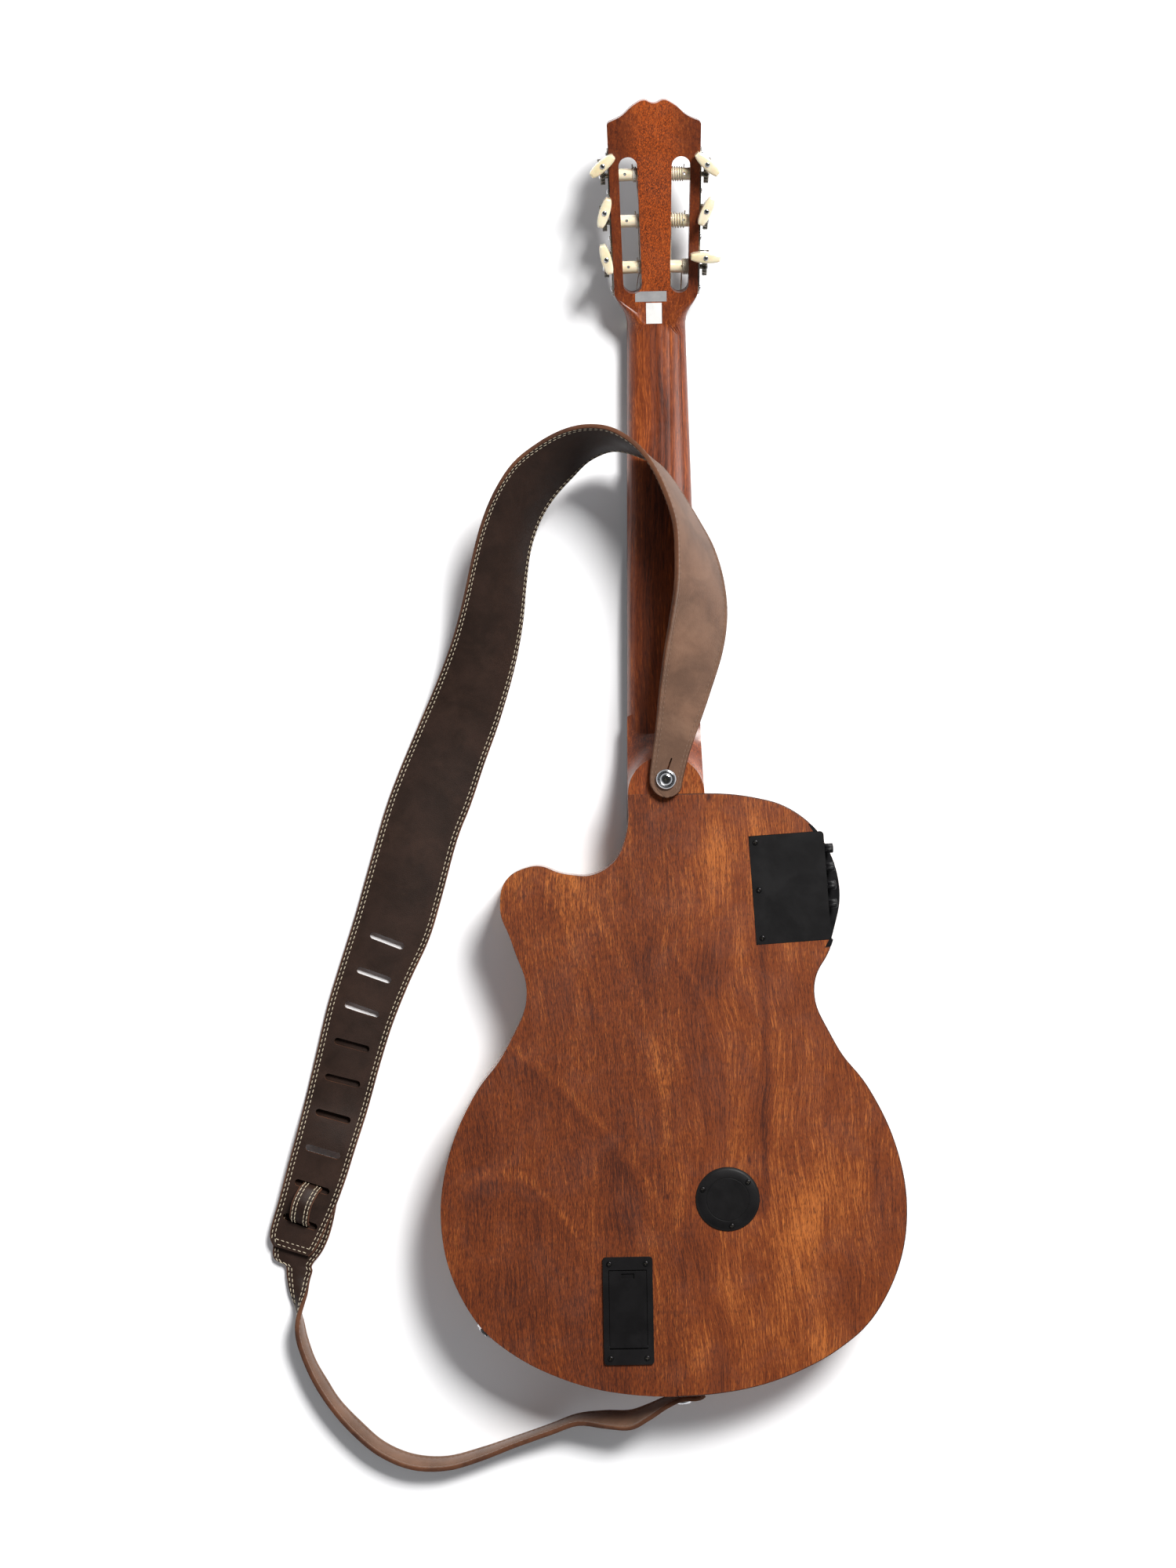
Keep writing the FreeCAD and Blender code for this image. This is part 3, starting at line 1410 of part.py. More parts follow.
# Strap. Each station of a route gives the ribbon's two edges, halfway through its thickness.
lying = strap_thickness / 2
raised = strap_thickness * 3 / 2 + soft_clearance
route_heel_y = -351.758
route_end_y = -818.93
strap_route = (
    ((-5, -364.5, 64.6), (6, -364.5, 64.6)), ((-10, -360, 64.6), (11, -360, 64.6)),
    ((-12.5, -352, 64.6), (13, -352, 64.6)), ((-10.5, -334, 65), (18, -333, 64)),
    ((-7, -310, 68), (26, -311, 60)), ((-4, -284, 71), (35, -286, 55)),
    ((0, -257, 75), (45, -255, 49)), ((5, -230, 79), (49, -227, 40)),
    ((9, -206, 83), (47, -201, 34)), ((10, -184, 86), (40, -176, 31)),
    ((9, -160, 88), (29, -155, 30)), ((2, -136, 89), (14, -130, 29.5)),
    ((-8, -115, 89.5), (1, -113, 29)), ((-20, -100, 89.5), (-14, -104, 29)),
    ((-37, -89, 88.5), (-34, -99, 29)), ((-55, -86, 86), (-53, -106, 29)),
    ((-73, -89, 82), (-67, -119, 28)), ((-92, -98, 77), (-81, -134, 25)),
    ((-111, -112, 70), (-92, -151, 19)), ((-126, -133, 61), (-100, -173, 13)),
    ((-137, -158, 52), (-104, -199, 8)), ((-145, -185, 42), (-107, -227, 4)),
    ((-152, -212, 32), (-112, -254, 2)), ((-161, -241, 22), (-119, -281, lying)),
    ((-173, -271, 12), (-128, -309, lying)), ((-188, -304, 4.5), (-139, -338, lying)),
    ((-204, -340, lying), (-150, -369, lying)), ((-216, -371, lying), (-161, -396, lying)),
    ((-231, -420, lying), (-174, -441, lying)), ((-241, -453, lying), (-184, -472, lying)),
    ((-252, -486, lying), (-199, -503, lying)), ((-263, -520, lying), (-213, -536, lying)),
    ((-272, -555, lying), (-224, -569, lying)), ((-281, -590, lying), (-234, -603, lying)),
    ((-289, -620, raised), (-244, -633, raised)), ((-296, -644, raised), (-252, -657, raised)),
    ((-303, -669, raised), (-262, -682, raised)), ((-311, -696, raised), (-275, -708, raised)),
    ((-309, -706, raised), (-281, -715, raised)),
)
paddle_route = (
    ((-290, -635.5, lying), (-256, -645.5, lying)), ((-295, -650, lying), (-257, -662, lying)),
    ((-303, -680, lying), (-263, -692, lying)), ((-308, -700, lying), (-270, -710, lying)),
    ((-309, -716, lying), (-279, -722, lying)), ((-300, -722, lying), (-279, -727, lying)),
    ((-299, -731, lying), (-281, -734, 3.5)), ((-297, -742, lying), (-283, -744, 9)),
    ((-292, -754, 1.0), (-287, -754, 17)), ((-288, -765, 0.8), (-290, -764, 20.6)),
    ((-285, -778, 0.8), (-290, -777, 20)), ((-279, -796, 0.8), (-285, -794, 19)),
    ((-270, -812, 0.8), (-277, -812, 19)), ((-260, -828, 0.8), (-265, -831, 19)),
    ((-244, -845, 0.8), (-249, -850, 19)), ((-226, -861, 0.8), (-229, -867, 19)),
    ((-203, -871, 0.8), (-204, -878, 19)), ((-177, -873, 0.8), (-177, -879, 19)),
    ((-151, -867, 0.8), (-151, -872, 19)), ((-125, -859, 1.0), (-125, -862, 20)),
    ((-97, -850, 3), (-97, -852, 23)), ((-70, -843, 8), (-70, -845, 28)),
    ((-46, -836, 14), (-46, -838, 35)), ((-27, -829.5, 20), (-27, -830.5, 42)),
    ((-12, -824, 23), (-12, -824.2, 46)), ((4, -823.8, 23), (4, -823.8, 47)),
    ((14, -823.7, 24), (14, -823.7, 46)), ((19, -823, 27), (19, -823, 43)),
    ((21.5, -822.2, 32), (21.5, -822.2, 38)),
)


def tied(x, y, z):
    """A point of a route, moved along the guitar with the strap buttons that the route runs between."""
    share = min(max((route_heel_y - y) / (route_heel_y - route_end_y), 0), 1)
    shift = (heel_button_y - route_heel_y) * (1 - share) + (end_button_y - route_end_y) * share
    return Vector(x, y + shift, z)


def ribbon(route, thickness):
    """A flat strap whose edges follow the route's stations."""
    highs = [tied(*high) for high, _ in route]
    lows = [tied(*low) for _, low in route]
    middles = [(h + l) / 2 for h, l in zip(highs, lows)]
    last = len(route) - 1
    rings = []
    for number, (high, low) in enumerate(zip(highs, lows)):
        travel = middles[min(number + 1, last)] - middles[max(number - 1, 0)]
        normal = unit((high - low).cross(travel)) * (thickness / 2)
        corners = [high + normal, low + normal, low - normal, high - normal]
        rings.append(corners)
    return faceted(rings)


def along_strap(distance):
    """The middle of the strap at a distance from its first station, and the way it runs."""
    middles = [(tied(*high) + tied(*low)) / 2 for high, low in strap_route]
    for start, end in zip(middles, middles[1:]):
        if distance <= (end - start).Length:
            return start + unit(end - start) * distance, unit(end - start)
        distance -= (end - start).Length
    return middles[-1], unit(middles[-1] - middles[-2])


def strap_slot_frame(number):
    spot, heading = along_strap(strap_slot_start + number * strap_slot_pitch)
    turn = math.degrees(math.atan2(heading.y, heading.x))
    return place(spot.x, spot.y, 0, turn)


def strap():
    band = ribbon(strap_route, strap_thickness)
    cutters = []
    for number in range(strap_slot_count):
        slot = prism(oval(strap_slot_length, strap_slot_width), -overrun, raised + strap_thickness + overrun)
        cutters.append(moved(slot, strap_slot_frame(number)))
    pin_low = back_z
    cutters.append(flat_sided(strap_pin_radius, Vector(0, heel_button_y, pin_low),
                              Vector(0, heel_button_y, pin_low + body_depth), roller_sides, True))
    return band.cut(cutters)


def strap_tail():
    """The adjusting piece: a flat end under the strap, a tongue through it and the ribbon."""
    band = ribbon(paddle_route, strap_thickness)
    hole = flat_sided(strap_pin_radius, Vector(end_button_x, end_button_y, end_button_z),
                      Vector(end_button_x, end_button_y - body_depth / 2, end_button_z), roller_sides, True)
    first, last = strap_slot_count - 2, strap_slot_count - 1
    start, end = strap_slot_frame(first).Base, strap_slot_frame(last).Base
    run = (end - start).Length
    low, high = lying, raised + lying + soft_clearance + tongue_thickness
    half = tongue_thickness / 2
    profile = [
        Vector(-half, 0, low), Vector(-half, 0, high), Vector(run + half, 0, high), Vector(run + half, 0, low),
        Vector(run - half, 0, low), Vector(run - half, 0, high - tongue_thickness),
        Vector(half, 0, high - tongue_thickness), Vector(half, 0, low),
    ]
    tongue = Part.Face(Part.makePolygon(profile + profile[:1])).extrude(along * tongue_width)
    turn = math.degrees(math.atan2(end.y - start.y, end.x - start.x))
    tongue = moved(tongue, place(start.x, start.y, 0, turn), place(0, -tongue_width / 2))
    return band.cut(hole).fuse(tongue)


def wiring():
    """Leads from the preamplifier to the battery and to the jack, with a bend at each corner."""
    over_braces = top_inner_z + harmonic_bar_height + wire_diameter / 2 + soft_clearance
    low = max(preamp_low_z - 2 * wire_diameter, over_braces)
    tray_y = -preamp_length / 2 - preamp_end_wall - soft_clearance
    bay_y = battery_bay_offset + battery_bay_length / 2 + battery_wall + soft_clearance
    jack_end = -side_thickness - overrun / 4 - jack_body_length - soft_clearance
    routes = []
    for x, route in ((0, battery_lead), (-lead_spread, jack_lead)):
        start = preamp_place().multVec(Vector(x, tray_y, preamp_low_z + 2 * wire_diameter))
        leaving = preamp_place().multVec(Vector(x, tray_y - lead_reach, low))
        routes.append([start, leaving] + [Vector(px, py, low) for px, py in route])
    bay = battery_place().multVec(Vector(0, bay_y, back_z - battery_bay_depth * 2 / 3))
    routes[0] += [bay + along * lead_reach, bay]
    routes[1] += [jack_frame().multVec(Vector(x, 0, 0)) for x in (jack_end - lead_reach, jack_end)]
    made = []
    for route in routes:
        made.append(tube(rounded_path(route, [lead_bend] * (len(route) - 2)), wire_diameter, string_sides))
    return Part.makeCompound(made)


def build():
    nodes = {
        "back_half_left": back_half(-1), "back_half_right": back_half(1), "side_rim": side_rim(),
        "top_plate": top_plate(), "neck_block": neck_block(), "tail_block": tail_block(),
        "linings": linings(), "top_braces": top_braces(), "bridge_plate": bridge_plate(),
        "back_braces": back_braces(), "bridge": bridge(), "saddle": saddle(), "pickup": pickup(),
        "neck": neck(), "heel_cap": heel_cap(), "fingerboard": fingerboard(), "frets": frets(),
        "nut": nut(), "truss_rod": truss_rod(), "headstock_veneer": headstock_veneer(),
        "preamp_housing": preamp_housing(), "preamp_cover": preamp_cover(), "preamp_board": preamp_board(),
        "round_cover": round_cover(), "battery_frame": battery_frame(), "battery_door": battery_door(),
        "battery": battery(), "jack_plate": jack_plate(), "jack": jack(), "strap_buttons": strap_buttons(),
        "cover_screws": cover_screws(), "tuner_screws": tuner_screws(), "strap": strap(),
        "strap_tail": strap_tail(), "wiring": wiring(),
    }
    for number in range(4):
        nodes[f"knob_{number + 1}"] = knob(number)
    for side, name in ((-1, "left"), (1, "right")):
        nodes[f"tuner_plate_{name}"] = seat_on_side(tuner_plate(), side)
    roller = tuner_roller()
    for number in range(len(string_diameters)):
        side, forward = tuner_side(number), tuner_forward(number)
        angle = button_angles[number] if side > 0 else 180 - button_angles[number]
        at_roller = moved(roller, place(0, forward, tuner_depth))
        at_worm = moved(tuner_button(angle), place(worm_axis, forward + centre_distance, tuner_depth))
        nodes[f"tuner_roller_{number + 1}"] = seat_on_side(at_roller, side)
        nodes[f"tuner_button_{number + 1}"] = seat_on_side(at_worm, side)
        nodes[f"string_{number + 1}"] = guitar_string(number)
    return nodes


os.makedirs("parts", exist_ok=True)
for name, shape in build().items():
    shape.exportStep(f"parts/{name}.step")
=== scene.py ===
"""Looks of a thin-bodied nylon-string guitar that lies on its face with its leather strap on.

Lengths in the classes are in millimetres, as in the part's source; Blender gets metres.
"""

from __future__ import annotations

import itertools
import json
import logging
import math
import random
from dataclasses import dataclass, field
from enum import Enum
from typing import Callable, Iterable, Sequence

import bmesh
import bpy
import numpy as np
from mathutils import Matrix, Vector
from mathutils.bvhtree import BVHTree

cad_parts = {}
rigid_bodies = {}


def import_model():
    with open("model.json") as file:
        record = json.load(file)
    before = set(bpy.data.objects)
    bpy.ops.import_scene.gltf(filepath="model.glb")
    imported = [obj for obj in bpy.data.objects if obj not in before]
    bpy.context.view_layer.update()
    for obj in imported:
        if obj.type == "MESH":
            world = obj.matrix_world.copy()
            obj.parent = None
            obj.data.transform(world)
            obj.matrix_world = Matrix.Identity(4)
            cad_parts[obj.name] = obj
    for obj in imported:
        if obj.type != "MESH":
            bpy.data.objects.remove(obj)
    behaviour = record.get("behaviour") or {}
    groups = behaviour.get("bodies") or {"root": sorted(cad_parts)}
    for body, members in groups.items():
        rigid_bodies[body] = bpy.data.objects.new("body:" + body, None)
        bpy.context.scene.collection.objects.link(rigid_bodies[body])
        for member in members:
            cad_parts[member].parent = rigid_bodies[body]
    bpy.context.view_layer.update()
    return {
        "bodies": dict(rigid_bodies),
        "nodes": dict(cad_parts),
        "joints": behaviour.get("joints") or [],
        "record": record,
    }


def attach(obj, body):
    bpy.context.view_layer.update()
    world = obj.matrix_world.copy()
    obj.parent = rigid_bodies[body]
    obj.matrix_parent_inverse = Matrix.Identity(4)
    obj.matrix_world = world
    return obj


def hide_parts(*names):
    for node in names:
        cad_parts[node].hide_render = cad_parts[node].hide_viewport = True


log = logging.getLogger("guitar")

MM = 0.001
Point = tuple[float, float, float]
Flat = tuple[float, float]
Colour = tuple[float, float, float, float]
Shape = tuple[list[Vector], list[list[int]]]
Station = tuple[Point, Point]
Sample = tuple[Vector, Vector, Vector]


def srgb(*levels: int) -> Colour:
    """Turns red, green and blue from 0 to 255, as a screen shows them, into linear values."""
    shares = [level / 255 for level in levels]
    return (*(s / 12.92 if s <= 0.04045 else ((s + 0.055) / 1.055) ** 2.4 for s in shares), 1.0)


class Wire:
    """A value in a node tree that can be reckoned with like a number."""

    def __init__(self, tree: Tree, socket: bpy.types.NodeSocket) -> None:
        """Keeps the tree and the socket that the value leaves."""
        self.tree, self.socket = tree, socket

    def __add__(self, other: Wire | float) -> Wire:
        """The sum."""
        return self.tree.math("ADD", self, other)

    def __sub__(self, other: Wire | float) -> Wire:
        """The difference."""
        return self.tree.math("SUBTRACT", self, other)

    def __rsub__(self, other: float) -> Wire:
        """The difference from a number."""
        return self.tree.math("SUBTRACT", other, self)

    def __mul__(self, other: Wire | float) -> Wire:
        """The product."""
        return self.tree.math("MULTIPLY", self, other)

    def __truediv__(self, other: Wire | float) -> Wire:
        """The quotient."""
        return self.tree.math("DIVIDE", self, other)

    def __abs__(self) -> Wire:
        """The amount without its sign."""
        return self.tree.math("ABSOLUTE", self)

    def swing(self, strength: Wire | float) -> Wire:
        """Turns a value around one half into one around zero with a strength of its own."""
        return (self - 0.5) * strength

    def parts(self) -> list[Wire]:
        """Its x, y and z."""
        return [Wire(self.tree, out) for out in self.tree.add("ShaderNodeSeparateXYZ", {0: self}).outputs]

    def spread(self, low: Wire | float, high: Wire | float, to_low: float = 0.0, to_high: float = 1.0,
               soft: bool = True) -> Wire:
        """Maps a range of the value onto another.

        Args:
            low: Start of the range.
            high: End of the range.
            to_low: Result at the start.
            to_high: Result at the end.
            soft: Whether it starts and ends gently.

        Returns:
            The mapped value.
        """
        return self.tree.wire("ShaderNodeMapRange", {0: self, 1: low, 2: high, 3: to_low, 4: to_high},
                              interpolation_type="SMOOTHSTEP" if soft else "LINEAR")

    def stretch(self, scale: Point, turn: float = 0.0, shift: Point = (0, 0, 0)) -> Wire:
        """Scales a coordinate by its own factor along each axis.

        Args:
            scale: Factor along each axis, in cycles per metre.
            turn: Turn about the vertical, in degrees.
            shift: Move of the pattern.

        Returns:
            The changed coordinate.
        """
        turned = self.tree.wire("ShaderNodeMapping", {0: self, 2: (0, 0, math.radians(turn))})
        return self.tree.wire("ShaderNodeMapping", {0: turned, 1: shift, 3: scale})

    def noise(self, scale: float = 1.0, detail: float = 2.0, rough: float = 0.5, warp: float = 0.0) -> Wire:
        """Reads a Noise texture at this coordinate.

        Args:
            scale: Its size in cycles.
            detail: How many finer layers it has.
            rough: How strong the finer layers are.
            warp: How far it distorts itself.

        Returns:
            A value around one half.
        """
        return self.tree.wire("ShaderNodeTexNoise", {"Vector": self, "Scale": scale, "Detail": detail,
                                                     "Roughness": rough, "Distortion": warp}, "Fac")

    def bump(self, strength: float, distance: float) -> Wire:
        """The normal of a surface with this value as its height."""
        return self.tree.wire("ShaderNodeBump", {"Strength": strength, "Distance": distance, "Height": self})


class Tree:
    """Adds and joins the nodes of one material or one effect."""

    def __init__(self, tree: bpy.types.NodeTree) -> None:
        """Keeps the node tree of a material, a world or a group."""
        self.tree = tree

    def fill(self, node: bpy.types.Node, inputs: dict) -> None:
        """Fills a node's sockets.

        Args:
            node: The node.
            inputs: Socket names or numbers with wires or values.
        """
        for name, value in inputs.items():
            if isinstance(value, Wire):
                self.tree.links.new(value.socket, node.inputs[name])
            else:
                node.inputs[name].default_value = value

    def add(self, kind: str, inputs: dict | None = None, **options: object) -> bpy.types.Node:
        """Adds a node, sets its options and fills its sockets.

        Args:
            kind: The node's Blender type.
            inputs: Socket names or numbers with wires or values.
            **options: Properties of the node.

        Returns:
            The new node.
        """
        node = self.tree.nodes.new(kind)
        for name, value in options.items():
            setattr(node, name, value)
        self.fill(node, inputs or {})
        return node

    def wire(self, kind: str, inputs: dict, output: int | str = 0, **options: object) -> Wire:
        """Adds a node as above and returns one of its outputs."""
        return Wire(self, self.add(kind, inputs, **options).outputs[output])

    def math(self, operation: str, *values: Wire | float) -> Wire:
        """Adds a Math node and returns its result."""
        return self.wire("ShaderNodeMath", dict(enumerate(values)), operation=operation)

    def mix(self, share: Wire | float, first: Wire | Colour, second: Wire | Colour) -> Wire:
        """Lays a share of the second colour over the first."""
        return self.wire("ShaderNodeMix", {0: share, 6: first, 7: second}, 2, data_type="RGBA",
                         clamp_factor=True)

    def use(self, effect: Effect, place: Wire, **inputs: Wire | float) -> dict[str, Wire]:
        """Places a shared effect.

        Args:
            effect: Which effect.
            place: The coordinate.
            **inputs: Its other inputs, with _ for a space and no capitals.

        Returns:
            What it puts out, by name.
        """
        filled = {name.replace("_", " ").title(): value for name, value in inputs.items()}
        node = self.add("ShaderNodeGroup", {"Place": place, **filled}, node_tree=EffectShelf.get(effect))
        return {out.name: Wire(self, out) for out in node.outputs}


def open_pores(tree: Tree, given: dict[str, Wire]) -> dict[str, Wire]:
    """Short dark flecks along the grain, as open pores leave them.

    Args:
        tree: The group's tree.
        given: The group's inputs by name.

    Returns:
        What the group puts out, by name.
    """
    fine = given["Place"].stretch((2300, 300, 2300)).noise(detail=1, rough=0.4, warp=0.5)
    coarse = given["Place"].stretch((1350, 170, 1350), shift=(3, 7, 1)).noise(detail=2, warp=0.4)
    edge = 0.72 - given["Amount"] * 0.17
    full = edge + 0.12
    return {"Mask": tree.math("MAXIMUM", *(flecks.spread(edge, full, soft=False) for flecks in (fine, coarse)))}


def wood_figure(tree: Tree, given: dict[str, Wire]) -> dict[str, Wire]:
    """Broad ribbon stripes, fine growth lines and slow changes of tone along the grain.

    Args:
        tree: The group's tree.
        given: The group's inputs by name.

    Returns:
        What the group puts out, by name.
    """
    x, y, z = given["Place"].parts()
    drift = given["Place"].stretch((13, 7, 13), shift=(5, 2, 0)).noise()
    across = x + (y * given["Slant"] + drift.swing(0.03))
    leaned = tree.wire("ShaderNodeCombineXYZ", {0: across, 1: y, 2: z})
    total: Wire | float = 0.5
    for strength, scale, detail, rough, warp in (
            ("Ribbon", (48, 3.4, 48), 3, 0.55, 0.35), ("Lines", (700, 24, 700), 4, 0.6, 0.0),
            ("Cloud", (9, 4, 9), 3, 0.5, 0.6), ("Lines", (2200, 120, 2200), 2, 0.7, 0.0)):
        layer = leaned.stretch(scale).noise(1.0, detail, rough, warp)
        total = layer.swing(given[strength]) * 2.6 + total
    return {"Tone": total}


def growth_line(tree: Tree, given: dict[str, Wire]) -> dict[str, Wire]:
    """A thin light line along a parabola, with a slow shade on one side of it.

    Args:
        tree: The group's tree.
        given: The group's inputs by name.

    Returns:
        What the group puts out, by name.
    """
    along = given["Along"]
    middle = along * given["Slope"] + given["Start"] + along * along * given["Curve"]
    wander = given["Place"].stretch((55, 25, 55)).noise(detail=4, rough=0.6).swing(0.012)
    off = given["Off"] + wander - middle
    line = abs(off).spread(0.0, given["Width"], 1.0, 0.0)
    side = off.spread(given["Reach"] * -1.0, 0.0, soft=False) * off.spread(-0.006, 0.004, 1.0, 0.0)
    inside = (along - given["Low"]).spread(-0.006, 0.02) * (given["High"] - along).spread(-0.006, 0.02)
    return {"Line": line * inside, "Side": side * inside}


def soft_patch(tree: Tree, given: dict[str, Wire]) -> dict[str, Wire]:
    """A soft oval patch whose edge wanders, for knots, streaks and painted light and shade.

    Args:
        tree: The group's tree.
        given: The group's inputs by name.

    Returns:
        What the group puts out, by name.
    """
    shares = [(here - given[f"Centre {letter}"]) / given[f"Half {letter}"]
              for letter, here in zip("XY", given["Place"].parts())]
    wander = given["Place"].stretch((26, 9, 26)).noise(detail=3).swing(0.9)
    reach = tree.math("SQRT", shares[0] * shares[0] + shares[1] * shares[1]) + wander
    return {"Mask": reach.spread(0.1, 1.0, 1.0, 0.0)}


def moulded_grain(tree: Tree, given: dict[str, Wire]) -> dict[str, Wire]:
    """The fine pebbled texture of a mould and slow changes in its gloss."""
    pebbles = tree.wire("ShaderNodeTexVoronoi", {"Vector": given["Place"], "Scale": given["Scale"]}, "Distance")
    return {"Height": pebbles, "Tone": given["Place"].noise(60.0, 4, 0.6)}


def hide_grain(tree: Tree, given: dict[str, Wire]) -> dict[str, Wire]:
    """Leather: small cells with creases between them, and slow changes of tone.

    Args:
        tree: The group's tree.
        given: The group's inputs by name.

    Returns:
        What the group puts out, by name.
    """
    place = given["Place"]
    warp = tree.wire("ShaderNodeTexNoise", {"Vector": place, "Scale": 220.0, "Detail": 2.0}, "Color")
    bend = tree.wire("ShaderNodeVectorMath", {0: warp, "Scale": 0.0012}, operation="SCALE")
    bent = tree.wire("ShaderNodeVectorMath", {0: place, 1: bend}, operation="ADD")
    cells = tree.wire("ShaderNodeTexVoronoi", {"Vector": bent, "Scale": given["Scale"]}, "Distance",
                      feature="DISTANCE_TO_EDGE")
    nap = place.stretch((1700, 700, 1700)).noise(1.0, 4, 0.7)
    height = cells.spread(0.0, 0.22) * given["Cells"] + nap * given["Nap"]
    return {"Height": height, "Tone": place.noise(38.0, 5, 0.62, 0.4)}


def brushed_lines(tree: Tree, given: dict[str, Wire]) -> dict[str, Wire]:
    """Fine parallel lines of a brushed or drawn metal.

    Args:
        tree: The group's tree.
        given: The group's inputs by name.

    Returns:
        What the group puts out, by name.
    """
    scaled = tree.wire("ShaderNodeVectorMath", {0: given["Place"], "Scale": given["Fine"]}, operation="SCALE")
    lines = scaled.stretch((2600, 60, 2600)).noise(detail=3, rough=0.6)
    return {"Height": lines, "Tone": scaled.noise(90.0, 3)}


def handling_marks(tree: Tree, given: dict[str, Wire]) -> dict[str, Wire]:
    """Smudges and fine scratches that change the gloss of a handled surface.

    Args:
        tree: The group's tree.
        given: The group's inputs by name.

    Returns:
        What the group puts out, by name.
    """
    smudge = given["Place"].noise(30.0, 5, 0.65, 0.8).spread(0.42, 0.72)
    scratch = given["Place"].stretch((90, 1600, 400), turn=31).noise(detail=1).spread(0.70, 0.78)
    return {"Mask": (smudge + scratch * 0.5) * given["Amount"]}


class Effect(Enum):
    """The surface effects that several materials share, each with its inputs beside the coordinate."""

    PORES = ("open_pores", ("Amount",))
    FIGURE = ("wood_figure", ("Ribbon", "Lines", "Slant", "Cloud"))
    PATCH = ("soft_patch", ("Centre X", "Centre Y", "Half X", "Half Y"))
    GROWTH = ("growth_line", ("Along", "Off", "Start", "Slope", "Curve", "Width", "Low", "High", "Reach"))
    MOULD = ("moulded_grain", ("Scale",))
    HIDE = ("hide_grain", ("Scale", "Nap", "Cells"))
    BRUSHED = ("brushed_lines", ("Fine",))
    HANDLING = ("handling_marks", ("Amount",))


class EffectShelf:
    """Builds each shared effect once and hands it out."""

    _made: dict[Effect, bpy.types.NodeTree] = {}
    _builders: dict[Effect, Callable[[Tree, dict[str, Wire]], dict[str, Wire]]] = {
        Effect.PORES: open_pores, Effect.FIGURE: wood_figure, Effect.PATCH: soft_patch,
        Effect.GROWTH: growth_line, Effect.MOULD: moulded_grain, Effect.HIDE: hide_grain,
        Effect.BRUSHED: brushed_lines, Effect.HANDLING: handling_marks}

    @classmethod
    def get(cls, effect: Effect) -> bpy.types.NodeTree:
        """Returns the effect's node group, and builds it at its first use.

        Args:
            effect: Which effect.

        Returns:
            The node group.
        """
        if effect not in cls._made:
            name, inputs = effect.value
            group = bpy.data.node_groups.new(name, "ShaderNodeTree")
            group.interface.new_socket("Place", in_out="INPUT", socket_type="NodeSocketVector")
            for label in inputs:
                group.interface.new_socket(label, in_out="INPUT", socket_type="NodeSocketFloat")
            tree = Tree(group)
            given = {out.name: Wire(tree, out) for out in tree.add("NodeGroupInput").outputs}
            made = cls._builders[effect](tree, given)
            for label in made:
                group.interface.new_socket(label, in_out="OUTPUT", socket_type="NodeSocketFloat")
            tree.add("NodeGroupOutput", made)
            cls._made[effect] = group
        return cls._made[effect]


@dataclass(frozen=True)
class Patch:
    """A lighter or darker place in the wood; some are the wood's own tone and knots, some are painted light and
    shade.
    """

    x: float
    y: float
    half_x: float
    half_y: float
    strength: float


@dataclass(frozen=True)
class Growth:
    """A growth line in the wood, as a parabola through three points."""

    points: tuple[Flat, Flat, Flat]
    low: float
    high: float
    light: float
    shade: float
    width: float
    reach: float
    upright: bool = True
    right: bool = False

    def parabola(self) -> tuple[float, float, float]:
        """Works out the line's three factors in metres.

        Returns:
            The constant, linear and square factor of the place across against the place along.
        """
        spots = [(y * MM, x * MM) if self.upright else (x * MM, y * MM) for x, y in self.points]
        (t0, v0), (t1, v1), (t2, v2) = spots
        first = (v1 - v0) / (t1 - t0)
        curve = ((v2 - v1) / (t2 - t1) - first) / (t2 - t0)
        slope = first - curve * (t0 + t1)
        return v0 - t0 * (slope + curve * t0), slope, curve


@dataclass(frozen=True)
class Finish:
    """A finish: a name, and what goes into the sockets of its shader."""

    name: str

    def material(self) -> bpy.types.Material:
        """Builds the finish's material.

        Returns:
            The material, with a Principled shader.
        """
        material = bpy.data.materials.new(self.name)
        material.use_nodes = True
        material.node_tree.nodes.clear()
        tree = Tree(material.node_tree)
        shader = tree.add("ShaderNodeBsdfPrincipled")
        out = tree.add("ShaderNodeOutputMaterial", {0: Wire(tree, shader.outputs[0])})
        out.is_active_output = True
        tree.fill(shader, self.surface(tree, tree.wire("ShaderNodeTexCoord", {}, "Object")))
        return material

    def surface(self, tree: Tree, place: Wire) -> dict[str, object]:
        """Works out the surface.

        Args:
            tree: The material's tree.
            place: The piece's own coordinate.

        Returns:
            The shader's sockets with their wires and values.
        """
        raise NotImplementedError


